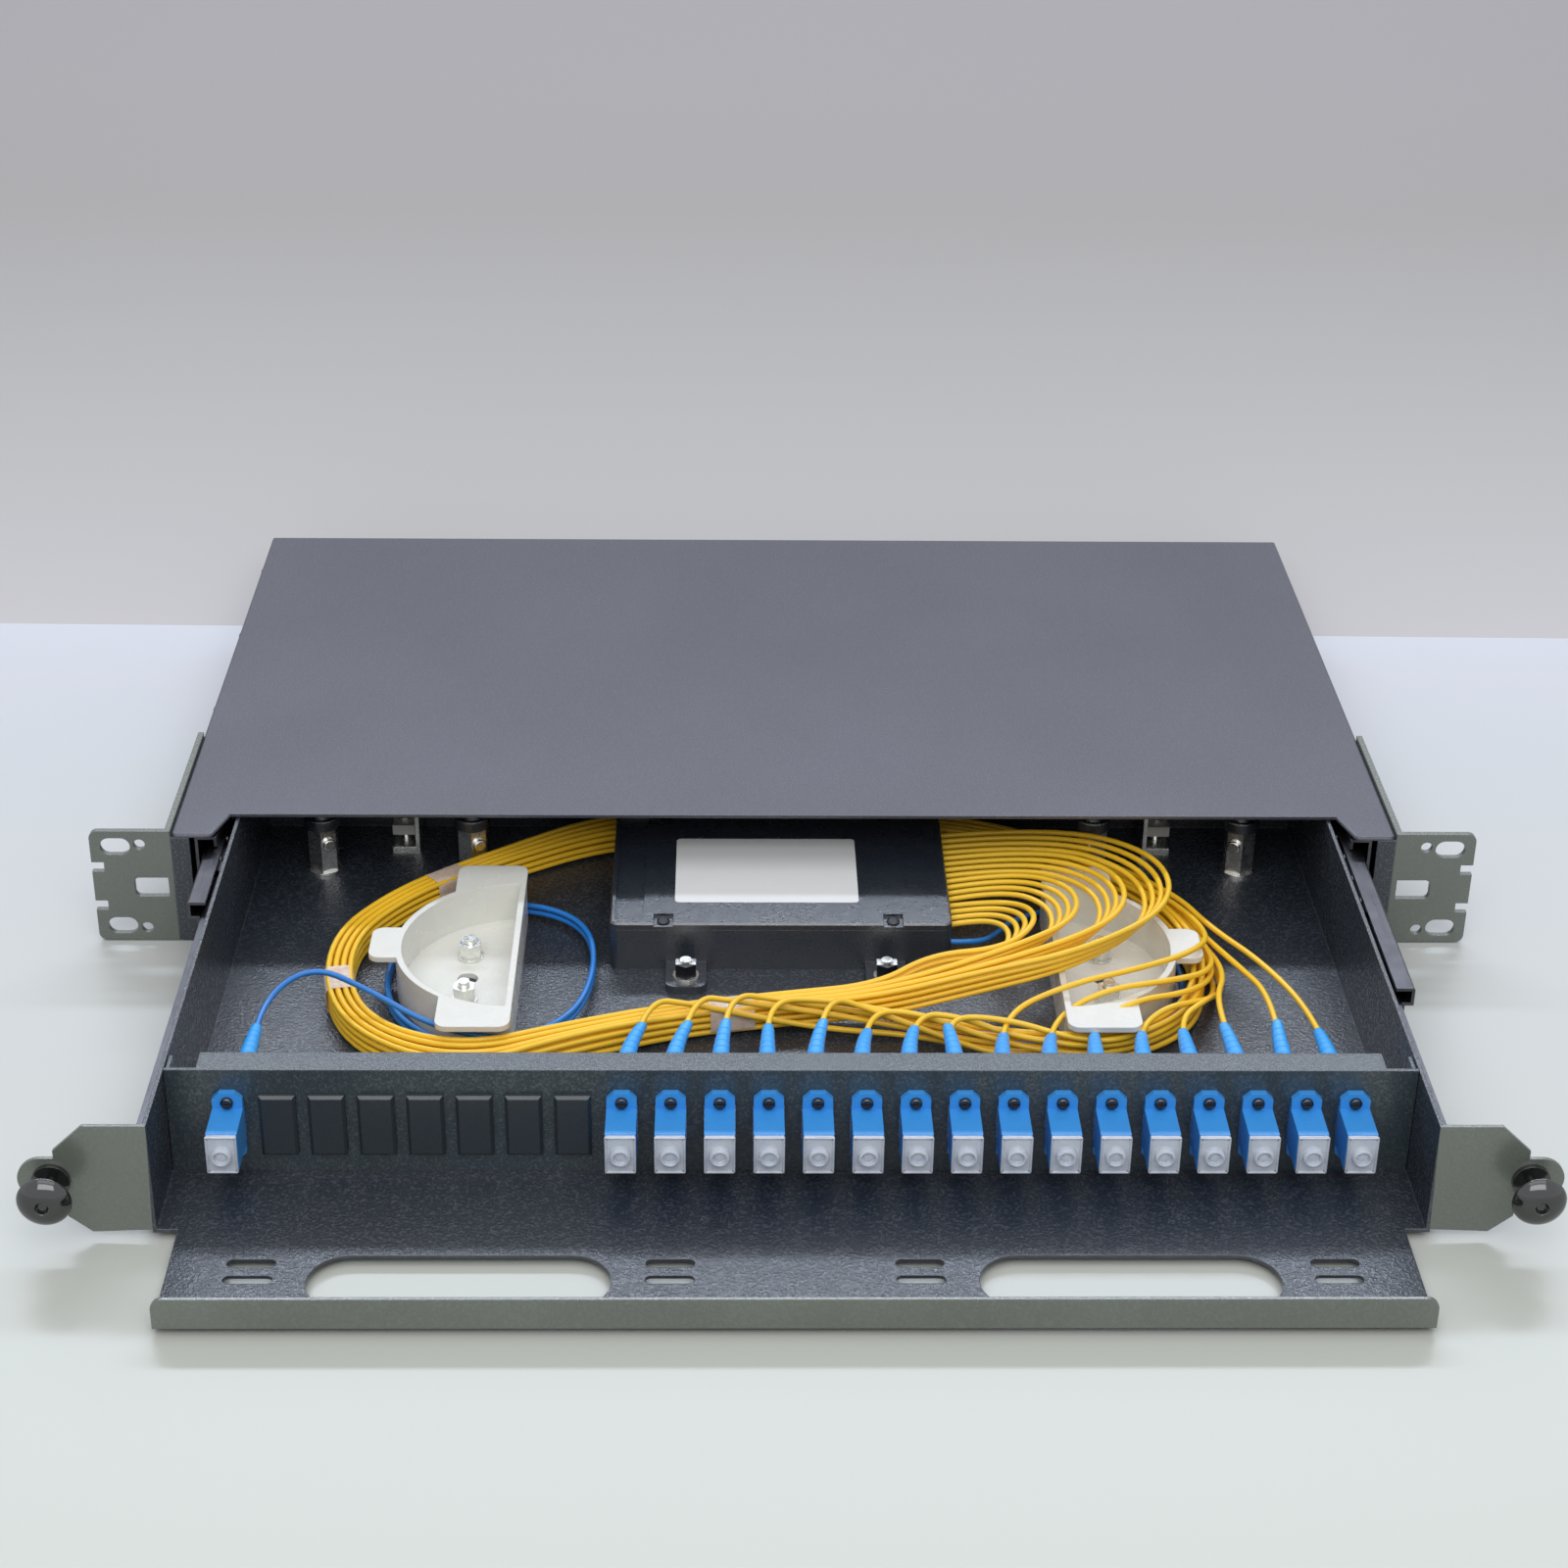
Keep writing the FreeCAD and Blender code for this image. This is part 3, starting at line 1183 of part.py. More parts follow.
def plug_master():
    """An SC plug with its ferrule reaching into the sleeve, and its key on top."""
    plug = Piece("plug_master", is_node=False)
    middle = "(panel_face - adapter_flange - adapter_front + panel_face + adapter_rear) / 2"
    start = f"{middle} + sleeve_length / 2 + plug_gap"
    body = box("-plug_width / 2", "plug_width / 2", "-plug_height / 2", "plug_height / 2")
    plug.pad("XZ_Plane", start, f"boot_rear - ({start})", body)
    grip = box(
        "-plug_width / 2 - plug_grip_side",
        "plug_width / 2 + plug_grip_side",
        "-plug_height / 2 - plug_grip_rise",
        "plug_height / 2 + plug_grip_rise",
    )
    grip_front = "panel_face + adapter_rear + 1"
    plug.pad("XZ_Plane", grip_front, f"boot_rear - 2 - ({grip_front})", grip)
    ferrule = Circle("0", "0", "ferrule")
    tip = f"{middle} + ferrule_gap"
    plug.pad("XZ_Plane", tip, f"{start} - ({tip})", ferrule)
    bore = Circle("0", "0", "fibre + fibre_bore")
    plug.cut("XZ_Plane", "boot_rear - fibre_bore_depth", "fibre_bore_depth + 1", bore)
    return plug


def boot_master():
    """A tapered strain relief boot with rings, bored for the fibre."""
    boot = Piece("boot_master", is_node=False)
    length = "boot_tip - boot_rear"
    ribs = int(size("boot_ribs"))
    bore = "fibre / 2 + boot_bore"
    corners = [(bore, "0")]
    step = f"({length}) / (2 * boot_ribs + 1)"
    for index in range(ribs):
        for part, groove in ((0, "0"), (1, "0"), (1, "boot_groove"), (2, "boot_groove")):
            share = f"({2 * index + part}) / (2 * boot_ribs + 1)"
            out = f"boot / 2 - (boot - boot_end) / 2 * {share} - {groove}"
            corners.append((out, f"{step} * {2 * index + part}"))
    share = f"({2 * ribs}) / (2 * boot_ribs + 1)"
    corners.append((f"boot / 2 - (boot - boot_end) / 2 * {share}", f"{step} * {2 * ribs}"))
    corners.append(("boot_end / 2", length))
    corners.append((bore, length))
    boot.spin("XY_Plane", "0", Outline(*corners))
    boot.body.setExpression("Placement.Base.y", linked("boot_rear"))
    return boot


def blank_master():
    """A plug that closes an unused port: a bevelled cover with a hollow body in the opening."""
    blank = Piece("blank_master", is_node=False)
    cover = box("-blank_width / 2", "blank_width / 2", "-blank_height / 2", "blank_height / 2")
    blank.pad("XZ_Plane", "panel_face - blank_rise", "blank_rise", cover)
    level = size("panel_face - blank_rise")
    blank.round("0.4 * blank_rise", lambda at, along: abs(at.y - level) < NEAR, "PartDesign::Chamfer")
    gap = "plug_clearance"
    insert = box(
        f"-port_width / 2 + {gap}",
        f"port_width / 2 - {gap}",
        f"-port_height / 2 + {gap}",
        f"port_height / 2 - {gap}",
    )
    blank.pad("XZ_Plane", "panel_face", "adapter_rear / 2", insert)
    wall = "adapter_wall"
    core = box(
        f"-port_width / 2 + {gap} + {wall}",
        f"port_width / 2 - {gap} - {wall}",
        f"-port_height / 2 + {gap} + {wall}",
        f"port_height / 2 - {gap} - {wall}",
    )
    blank.cut("XZ_Plane", "panel_face", "adapter_rear", core)
    return blank


# --- splitter --------------------------------------------------------------------------------


FLOOR = "(drawer_floor + drawer_sheet)"
CASE_BACK = "(case_front + case_depth)"
CASE_TOP = f"({FLOOR} + case_height - lid_sheet)"
LID_SCREWS = [
    (across, back)
    for across in ("lid_screw_left", "lid_screw_right")
    for back in ("case_front + lid_screw_inset", f"{CASE_BACK} - lid_screw_inset")
]


def splitter_case():
    """An open box with mounting ears, screw pillars and a row of fibre exits on the right."""
    case = Piece("splitter_case")
    block = box("case_left", "case_right", "case_front", CASE_BACK)
    case.pad("XY_Plane", FLOOR, f"{CASE_TOP} - {FLOOR}", block)
    inside = box(
        "case_left + case_wall",
        "case_right - case_wall",
        "case_front + case_wall",
        f"{CASE_BACK} - case_wall",
    )
    case.cut("XY_Plane", f"{FLOOR} + case_wall", "case_height", inside)
    edge_x, edge_y = (size("case_left"), size("case_right")), (size("case_front"), size(CASE_BACK))
    case.round(
        "1.5 * case_wall",
        lambda at, along: along == "Z"
        and min(abs(at.x - x) for x in edge_x) < NEAR
        and min(abs(at.y - y) for y in edge_y) < NEAR,
    )
    pillars = [
        box(
            f"{across} - lid_screw_shelf / 2",
            f"{across} + lid_screw_shelf / 2",
            "case_front + case_wall / 2" if back.startswith("case_front") else f"{CASE_BACK} - lid_screw_shelf",
            "case_front + lid_screw_shelf" if back.startswith("case_front") else f"{CASE_BACK} - case_wall / 2",
        )
        for across, back in LID_SCREWS
    ]
    case.pad("XY_Plane", f"{FLOOR} + case_wall / 2", f"{CASE_TOP} - {FLOOR} - case_wall / 2", *pillars)
    threads = [Circle(across, back, "lid_screw + thread_gap") for across, back in LID_SCREWS]
    case.cut("XY_Plane", f"{FLOOR} + case_wall", "case_height", *threads)
    ears = [
        box(
            f"{side} * case_stud_x - case_ear_width / 2",
            f"{side} * case_stud_x + case_ear_width / 2",
            "case_front - case_ear_reach",
            "case_front + case_wall / 2",
        )
        for _, side in SIDES
    ]
    case.pad("XY_Plane", FLOOR, "case_ear", *ears)
    eyes = [Circle(f"{side} * case_stud_x", "case_stud_y", "stud + 2 * thread_gap") for _, side in SIDES]
    case.cut("XY_Plane", f"{FLOOR} - 1", "case_ear + 2", *eyes)
    tip = size("case_front - case_ear_reach")
    case.round("case_ear_width / 4", lambda at, along: along == "Z" and abs(at.y - tip) < NEAR)
    wall = ("case_right - 2 * case_wall", "3 * case_wall")
    case.cut("YZ_Plane", *wall, Circle("input_exit_y", "input_exit_z", "exit_bore"))
    first = case.cut("YZ_Plane", *wall, Circle("first_exit_y", "exit_z", "exit_bore"))
    case.row(first, "Y_Axis", "exit_pitch", "outputs")


def splitter_lid():
    """The lid: a shelf for each screw in its edges, and a sunk strip along the left end."""
    lid = Piece("splitter_lid")
    lid.pad("XY_Plane", CASE_TOP, "lid_sheet", box("case_left", "case_right", "case_front", CASE_BACK))
    edge_x, edge_y = (size("case_left"), size("case_right")), (size("case_front"), size(CASE_BACK))
    lid.round(
        "1.5 * case_wall",
        lambda at, along: along == "Z"
        and min(abs(at.x - x) for x in edge_x) < NEAR
        and min(abs(at.y - y) for y in edge_y) < NEAR,
    )
    top = size(f"{CASE_TOP} + lid_sheet")
    lid.round("0.25 * lid_sheet", lambda at, along: abs(at.z - top) < NEAR, "PartDesign::Chamfer")
    shelves = [
        box(
            f"{across} - lid_screw_shelf / 2",
            f"{across} + lid_screw_shelf / 2",
            "case_front - 1" if back.startswith("case_front") else f"{CASE_BACK} - lid_screw_shelf",
            "case_front + lid_screw_shelf" if back.startswith("case_front") else f"{CASE_BACK} + 1",
        )
        for across, back in LID_SCREWS
    ]
    lid.cut("XY_Plane", f"{CASE_TOP} + lid_sheet / 2", "lid_sheet", *shelves)
    holes = [Circle(across, back, "lid_screw + 2 * thread_gap") for across, back in LID_SCREWS]
    lid.cut("XY_Plane", f"{CASE_TOP} - 1", "lid_sheet + 2", *holes)
    strip = box("lid_recess_left", "lid_recess_right", "case_front + 1.8 * case_wall",
                f"{CASE_BACK} - 1.8 * case_wall")
    lid.cut("XY_Plane", f"{CASE_TOP} + 0.6 * lid_sheet", "lid_sheet", strip)


def splitter_label():
    label = Piece("splitter_label")
    place = box("label_left", "label_right", "label_front", f"{CASE_BACK} - 2.5 * case_wall")
    label.pad("XY_Plane", f"{CASE_TOP} + lid_sheet", "label_sheet", place)


def splitter_chip():
    """The planar splitter module inside the case, with a fibre block at each end."""
    chip = Piece("splitter_chip")
    low = f"{FLOOR} + case_wall"
    middle = f"(case_front + {CASE_BACK}) / 2"
    loops = {}
    for name, reach, half in (
        ("module", "chip_length / 2", "chip_width / 2"),
        ("blocks", "chip_length / 2 + chip_width / 2", "chip_width / 4"),
    ):
        loops[name] = box(f"-({reach})", reach, f"{middle} - {half}", f"{middle} + {half}")
    chip.pad("XY_Plane", low, "chip_height", loops["module"])
    chip.pad("XY_Plane", low, "chip_height / 2", loops["blocks"])


def hexagon(across, back, flats):
    """A hexagon with a corner to the front."""
    side, point = f"({flats}) / 2", f"({flats}) / sqrt(3)"
    return Outline(
        (across, f"{back} - {point}"),
        (f"{across} + {side}", f"{back} - {point} / 2"),
        (f"{across} + {side}", f"{back} + {point} / 2"),
        (across, f"{back} + {point}"),
        (f"{across} - {side}", f"{back} + {point} / 2"),
        (f"{across} - {side}", f"{back} - {point} / 2"),
    )


def nut_master(label, height):
    """A nut on its washer, bored for the stud."""
    washer = Piece(f"{label}_washer", is_node=False)
    bore = "stud + thread_gap"
    washer.pad("XY_Plane", "0", "nut_washer_sheet", Circle("0", "0", "nut_washer"), Circle("0", "0", bore))
    nut = Piece(f"{label}_nut", is_node=False)
    nut.pad("XY_Plane", "nut_washer_sheet", height, hexagon("0", "0", "nut_flats"), Circle("0", "0", bore))
    return washer, nut


def down_screw(label, shank, head, cap, length):
    """A pan head screw that stands in a hole from above, turned as one piece."""
    return turned(
        label,
        "XZ_Plane",
        (
            ("0", f"-({length})"),
            (f"{shank} / 2", f"-({length})"),
            (f"{shank} / 2", "0"),
            (f"{head} / 2", "0"),
            (f"{head} / 2", f"{cap} / 2"),
            (f"{head} / 3", cap),
            ("0", cap),
        ),
    )


def splitter_fasteners():
    """Nuts and washers on the splitter's studs, and the screws of its lid."""
    members = []
    washer, nut = nut_master("splitter", "nut_height")
    for _, side in SIDES:
        for master in (washer, nut):
            members.append(placed(master, f"{side} * case_stud_x", "case_stud_y", f"{FLOOR} + case_ear"))
    screw = down_screw(
        "lid_screw_master",
        "lid_screw",
        "lid_screw_head",
        "0.4 * lid_sheet",
        "lid_screw_length",
    )
    for across, back in LID_SCREWS:
        members.append(placed(screw, across, back, f"{CASE_TOP} + lid_sheet / 2"))
    compound("splitter_fasteners", members)


# --- spools, posts and clamps ----------------------------------------------------------------


def spool(name, side):
    """Half a drum with its flat side to the middle; three wings keep the fibres down."""
    drum = Piece(f"spool_{name}")
    flat = f"{side} * spool_x"
    low, top = FLOOR, f"({FLOOR} + spool_height)"
    drum.pad("XY_Plane", low, "spool_height", Circle(flat, "spool_y", "2 * spool_radius"))
    half = box(
        f"{side} * (spool_x - 2 * spool_radius)",
        flat,
        "spool_y - 2 * spool_radius",
        "spool_y + 2 * spool_radius",
    )
    drum.cut("XY_Plane", f"{low} - 1", "spool_height + 2", half)
    wings = [
        box(flat, f"{side} * (spool_x + spool_wing_width)", "spool_y - spool_wing_reach", "spool_y - 12"),
        box(flat, f"{side} * (spool_x + spool_wing_width)", "spool_y + 12", "spool_y + spool_wing_reach"),
        box(
            f"{side} * (spool_x + spool_wing_width + 4)",
            f"{side} * (spool_x + spool_side_reach)",
            "spool_y - spool_side_half",
            "spool_y + spool_side_half",
        ),
    ]
    drum.pad("XY_Plane", f"{top} - spool_floor", "spool_floor", *wings)
    front, rear = size("spool_y - spool_wing_reach"), size("spool_y + spool_wing_reach")
    reach = size("spool_x + spool_side_reach")
    drum.round(
        "2 * spool_floor",
        lambda at, along: along == "Z"
        and (min(abs(at.y - front), abs(at.y - rear)) < NEAR or abs(abs(at.x) - reach) < NEAR),
    )
    hollow = Circle(flat, "spool_y", "2 * (spool_radius - spool_wall)")
    drum.cut("XY_Plane", f"{low} + spool_floor", "spool_height", hollow)
    wall = box(
        flat,
        f"{side} * (spool_x + spool_wall)",
        "spool_y - spool_radius + 0.5 * spool_wall",
        "spool_y + spool_radius - 0.5 * spool_wall",
    )
    drum.pad("XY_Plane", f"{low} + spool_floor / 2", "spool_height - spool_floor / 2", wall)
    eyes = [
        Circle(f"{side} * spool_nut_x", f"spool_y {back} spool_nut_half", "stud + 2 * thread_gap")
        for back in ("-", "+")
    ]
    eyes.append(Circle(f"{side} * spool_nut_x", "spool_y", "spool_eye"))
    drum.cut("XY_Plane", f"{low} - 1", "spool_floor + 2", *eyes)


def spool_nuts():
    washer, nut = nut_master("spool", "nut_height")
    members = [
        placed(master, f"{side} * spool_nut_x", f"spool_y {back} spool_nut_half", f"{FLOOR} + spool_floor")
        for _, side in SIDES
        for back in ("-", "+")
        for master in (washer, nut)
    ]
    compound("spool_nuts", members)


POSTS = [
    (side, across)
    for _, side in SIDES
    for across in ("post_outer_x", "post_inner_x")
]


def strength_posts():
    """Hexagonal posts for the cables' strength members, with caps, top screws and side screws."""
    post = Piece("post_master", is_node=False)
    post.pad("XY_Plane", "0", "post_height", hexagon("0", "0", "post_flats"))
    post.pad("XY_Plane", "0", "post_collar", Circle("0", "0", "post_washer"))
    post.cut("XY_Plane", "post_height - 1.1 * post_screw_length + post_washer_sheet", "post_height",
             Circle("0", "0", "post_screw + thread_gap"))
    cap = Piece("post_cap_master", is_node=False)
    rings = (Circle("0", "0", "post_washer"), Circle("0", "0", "post_screw + thread_gap"))
    cap.pad("XY_Plane", "0", "post_washer_sheet", *rings)
    level = size("post_washer_sheet")
    cap.round("post_washer_sheet / 4", lambda at, along: abs(at.z - level) < NEAR)
    screw = down_screw(
        "post_screw_master", "post_screw", "post_screw_head", "post_screw_cap", "post_screw_length"
    )
    side_screw = Piece("post_side_screw_master", is_node=False)
    start = "-post_flats / 2 - post_side_cap"
    side_screw.pad("XZ_Plane", start, "post_side_cap", Circle("0", "0", "post_side_head"))
    head = size(start)
    side_screw.round("post_side_cap / 2", lambda at, along: abs(at.y - head) < NEAR)
    members = {"strength_posts": [], "post_caps": [], "post_screws": []}
    for side, across in POSTS:
        place = (f"{side} * {across}", "post_y")
        top = f"{FLOOR} + post_height"
        members["strength_posts"].append(placed(post, *place, FLOOR))
        members["post_caps"].append(placed(cap, *place, top))
        members["post_screws"].append(placed(screw, *place, f"{top} + post_washer_sheet"))
        turn = Rotation(Vector(0, 0, 1), -30 * float(side))
        members["post_screws"].append(placed(side_screw, *place, "post_side_screw_z", turn))
    for label, group in members.items():
        compound(label, group)


def cable_clamps():
    """L brackets behind the posts: a saddle is bolted down over the cable."""
    metal, saddles = [], []
    for name, side in SIDES:
        bracket = Piece(f"clamp_bracket_{name}", is_node=False)
        inner, outer = f"{side} * clamp_x", f"{side} * (clamp_x + clamp_width)"
        back = "clamp_y + clamp_depth"
        bracket.pad("XY_Plane", FLOOR, "clamp_sheet", box(inner, outer, "clamp_y", back))
        leg = box(inner, f"{side} * (clamp_x + clamp_sheet)", "clamp_y", back)
        bracket.pad("XY_Plane", FLOOR, f"clamp_top - {FLOOR}", leg)
        bolt_x = f"{side} * (clamp_x + (clamp_width + clamp_sheet) / 2)"
        bolt_y = "clamp_y + clamp_depth / 2"
        hole = Circle(bolt_x, bolt_y, "clamp_bolt + thread_gap")
        bracket.cut("XY_Plane", f"{FLOOR} - 1", "clamp_sheet + 2", hole)
        metal.append(bracket.body)
        saddle = Piece(f"clamp_saddle_{name}", is_node=False)
        plate = box(
            f"{side} * (clamp_x + clamp_sheet + clamp_air)",
            outer,
            "clamp_y + 2",
            f"{back} - 2",
        )
        saddle.pad("XY_Plane", "saddle_low", "saddle_height", plate, hole)
        saddles.append(saddle.body)
        bolt = down_screw(
            f"clamp_bolt_{name}_master",
            "clamp_bolt",
            "clamp_bolt_head",
            "clamp_bolt_cap",
            f"saddle_low + saddle_height - {FLOOR}",
        )
        metal.append(placed(bolt, bolt_x, bolt_y, "saddle_low + saddle_height"))
    compound("cable_clamps", metal)
    compound("clamp_saddles", saddles)


# --- fibres ----------------------------------------------------------------------------------


# the way of the innermost output once it has come down from the splitter: along the front, round
# the left spool, along the back, round the right spool and along the front again
LOOP = (
    (30, -49.2), (-2, -53.5), (-38, -60), (-70, -74), (-108, -89), (-143, -68), (-151, -22),
    (-133, 10), (-104, 33.5), (-62, 60), (-15, 62.5), (35, 62), (72, 56.5), (104, 33), (130, 6),
    (141.5, -30), (135, -64), (108, -83), (72, -79), (40, -67.5),
)

# (lane, row): its boot counted from the left, how many points of LOOP it keeps, how far back it
# turns into the boot, and its own points before that
TAILS = {
    (0, 0): (0, 20, -70.5, ((16, -67.3, 6.5), (-10, -67.5, 11.5), (-33.5, -68.2, 17.5))),
    (0, 1): (1, 20, -70, ((8, -67.6, 14), (-18.5, -67.8, 18.2))),
    (0, 2): (2, 20, -70, ((22, -67.4, 14.2), (-3.5, -67.6, 18.7))),
    (0, 3): (3, 20, -70, ((11.5, -67.7, 19),)),
    (1, 0): (4, 19, -71.5, ((52, -74.3, 8), (26.5, -69.8, 16.5))),
    (1, 1): (5, 18, -72.5, ((84, -83.5, 8.5), (62, -78, 11.8), (41.5, -72.5, 17))),
    (1, 2): (6, 18, -76, ((76, -82.5, 13), (56.5, -76.5, 17.7))),
    (1, 3): (7, 18, -79.5, ((92, -84.5, 14.5), (72, -81, 17.8))),
    (2, 0): (11, 16, -79, ((144.5, -51, 9), (137, -67, 15), (124, -75.5, 20.8))),
    (2, 1): (10, 15, -75.5, ((146, -28, 9), (142.5, -50, 14.6), (131, -64, 18.8), (115.5, -72.5, 22))),
    (2, 2): (9, 15, -73.5, (
        (146.5, -26, 12.5), (143.5, -48, 17.5), (127, -61.5, 22.3), (104, -68.5, 23.3),
    )),
    (2, 3): (8, 15, -70.5, ((146.5, -24, 18), (138, -45, 23.8), (117, -58.5, 25.2), (93, -66.5, 24.2))),
    (3, 0): (12, 15, -77, ((147.5, -20, 5), (149, -46, 8.5), (140.5, -66, 16))),
    (3, 1): (13, 15, -71, ((146.5, -16, 8.5), (149, -44, 14))),
    (3, 2): (14, 15, -71, ((145.5, -13, 11), (153.5, -42, 16))),
    (3, 3): (15, 15, -71, ((148, -14, 14.5), (161, -42, 18))),
}

# points of the input fibre between its exit and its boot
INPUT_WAY = (
    (67, -20.5, 12), (74, -9, 8.5), (81, 6.5, 5), (97, 15.5, 4.7), (125, 4, 4.7),
    (138.5, -24, 4.7), (132, -58, 4.7), (108, -80, 4.7), (84, -76.5, 4.7), (60, -62, 4.7),
    (30, -50.5, 4.7), (-8, -46, 4.7), (-42, -53, 4.7), (-66, -68, 4.7), (-90, -80, 4.7),
    (-116, -76.5, 4.7), (-135.5, -54, 4.7), (-136.5, -17, 5.2), (-113, 9.5, 5.8), (-88, 11, 6.4),
    (-69, -4, 7), (-65, -33, 7.2), (-71, -64, 7.2), (-91, -80.5, 7.2), (-116, -76.5, 7.2),
    (-135.5, -54, 7.2), (-136.5, -17, 7.7), (-113, 9.5, 8.3), (-88, 11, 8.9), (-69, -4, 9.5),
    (-65, -33, 9.8), (-71, -64, 9.8), (-91, -80.5, 10.2), (-117, -76.5, 13.5), (-139, -66, 21.5),
    (-158, -57.5, 25.5),
)
INPUT_TURN = -70

TAPED_RUNS = ((1, 0.5), (5, 0.52), (7, 0.5))


def beside(points, reach):
    """An open run of points in plan, moved to its left by reach with its legs kept parallel."""
    moved = []
    for index, (x, y) in enumerate(points):
        legs = []
        for first, second in ((index - 1, index), (index, index + 1)):
            if first >= 0 and second < len(points):
                leg = Vector(*points[second], 0) - Vector(*points[first], 0)
                legs.append(leg.normalize())
        middle = Vector(sum(leg.x for leg in legs), sum(leg.y for leg in legs), 0).normalize()
        share = middle.dot(legs[0])
        moved.append((x - middle.y * reach / share, y + middle.x * reach / share))
    return moved


def boot_x(index):
    """Middle of an output's boot; boots are counted from the left."""
    return size(port_x(FITTED[1 + index]))


def turn_down(index, lane, row):
    """The first points of an output: out of the splitter, over the right spool and to the front."""
    start = size("case_right - 0.9 * case_wall")
    exit_y = size(f"first_exit_y + {index} * exit_pitch")
    exit_z = size("exit_z")
    low = index < 4
    top = 21.3 if low else 23.3
    front = -45.0 - size("lane_pitch") * lane
    radius = (exit_y - front) / 2
    middle = (exit_y + front) / 2
    half_side = radius * math.tan(math.radians(22.5))
    first = start + min(1.96 * half_side, 30 + 0.5 * half_side)
    far = first - half_side + radius
    points = [
        (start, exit_y, exit_z),
        (first, exit_y, 18.5 if low else 20.6),
        (far, middle + half_side, top + 0.8 * row),
        (far, middle - half_side, top + 1.8 * row),
        (first, front, (18.3 if low else 22.4) + 2.5 * row),
    ]
    if index < 6:
        points.append((48 if low else 54, front - 1.8, (15.8 if low else 18.0) + 2.5 * row))
    if index >= 12:
        points.append((62, front - 2.8, 18.6 + 2.5 * row))
    return points


def into_boot(points):
    """Last point of a fibre: straight into its boot, no further than the run before is long."""
    run = (Vector(*points[-1]) - Vector(*points[-2])).Length
    x, y, z = points[-1]
    return (x, max(y - run, size("boot_tip - fibre_entry")), z)


def output_points(index):
    """Every point of one output; the outputs lie in lanes side by side, each four rows high."""
    lane, row = divmod(index, 4)
    height = size("row_low") + size("row_pitch") * row
    boot, kept, turn_y, own = TAILS[(lane, row)]
    way = beside(LOOP, size("lane_pitch") * lane)
    points = turn_down(index, lane, row)
    for (x, y), lift in zip(way[:2], (8.1, 2.5)):
        points.append((x, y, height + lift))
    points += [(x, y, height) for x, y in way[2:kept]]
    points += own
    points.append((boot_x(boot), turn_y, size("port_z")))
    return points + [into_boot(points)]


def input_points():
    start = (size("case_right - 0.9 * case_wall"), size("input_exit_y"), size("input_exit_z"))
    turn = (size(port_x(FITTED[0])), INPUT_TURN, size("port_z"))
    points = [start, *INPUT_WAY, turn]
    return points + [into_boot(points)]


def tube(name, points):
    """A round tube along straight runs that are joined by tangent arcs as large as they allow."""
    corners = [Vector(*point) for point in points]
    radii = []
    edges = []
    here = corners[0]
    for before, corner, after in zip(corners, corners[1:], corners[2:]):
        arriving, leaving = corner - before, after - corner
        reach = 0.45 * min(arriving.Length, leaving.Length)
        turn = arriving.getAngle(leaving)
        arriving.normalize()
        leaving.normalize()
        radius = reach / math.tan(turn / 2)
        inward = (leaving - arriving).normalize()
        middle = corner + inward * (radius / math.cos(turn / 2) - radius)
        edges.append(Part.LineSegment(here, corner - arriving * reach).toShape())
        here = corner + leaving * reach
        edges.append(Part.Arc(corner - arriving * reach, middle, here).toShape())
        radii.append(radius)
    edges.append(Part.LineSegment(here, corners[-1]).toShape())
    way = Part.Wire(edges)
    section = Part.makeCircle(size("fibre / 2"), corners[0], corners[1] - corners[0])
    solid = way.makePipeShell([Part.Wire([section])], True, False)
    expected = math.pi * size("fibre / 2") ** 2 * way.Length
    print(f"{name}: {way.Length:.0f} mm, radii {min(radii):.1f} mm and up,", end=" ")
    print(f"volume {solid.Volume / expected:.4f} of section by length")
    thing = doc.addObject("Part::Feature", name)
    thing.Shape = solid
    return thing


def fibres():
    compound("input_fibre", [tube("input", input_points())])
    outputs = int(size("outputs"))
    compound("output_fibres", [tube(f"output_{index}", output_points(index)) for index in range(outputs)])


def tape_wraps():
    """Square sleeves of film that hold the lanes together."""
    sleeves = []
    wide = "(3 * lane_pitch + fibre + 2 * tape_gap)"
    for number, (leg, share) in enumerate(TAPED_RUNS, start=1):
        (x0, y0), (x1, y1) = LOOP[leg], LOOP[leg + 1]
        lift = 2.5 * (1 - share) if leg == 1 else 0.0
        low = f"row_low - fibre / 2 - tape_gap / 2 + {0.8 * lift}"
        high = f"3 * row_pitch + fibre + 1.5 * tape_gap + {0.4 * lift}"
        sleeve = Piece(f"tape_{number}", is_node=False)
        sleeve.pad(
            "XY_Plane",
            f"{low} - tape",
            f"{high} + 2 * tape",
            box("-tape_length / 2", "tape_length / 2", "-tape_gap - fibre / 2 - tape",
                f"{wide} - tape_gap - fibre / 2 + tape"),
        )
        sleeve.cut(
            "XY_Plane",
            low,
            high,
            box("-tape_length", "tape_length", "-tape_gap - fibre / 2",
                f"{wide} - tape_gap - fibre / 2"),
        )
        heading = math.degrees(math.atan2(y1 - y0, x1 - x0))
        turn = Rotation(Vector(0, 0, 1), heading)
        place = (str(x0 + share * (x1 - x0)), str(y0 + share * (y1 - y0)), "0")
        sleeves.append(placed(sleeve, *place, turn))
    compound("tape_wraps", sleeves)


# --- build, check and write ------------------------------------------------------------------


def build_all():
    chassis_base()
    chassis_cover()
    chassis_screws()
    slide_standoffs()
    drawer_tray()
    for name, side in SIDES:
        rack_ear(name, side)
        slides(name, side)
        latch(name, side)
        spool(name, side)
    adapter_panel()
    adapter_parts()
    splitter_case()
    splitter_lid()
    splitter_label()
    splitter_chip()
    splitter_fasteners()
    spool_nuts()
    strength_posts()
    cable_clamps()
    fibres()
    tape_wraps()
    doc.recompute()


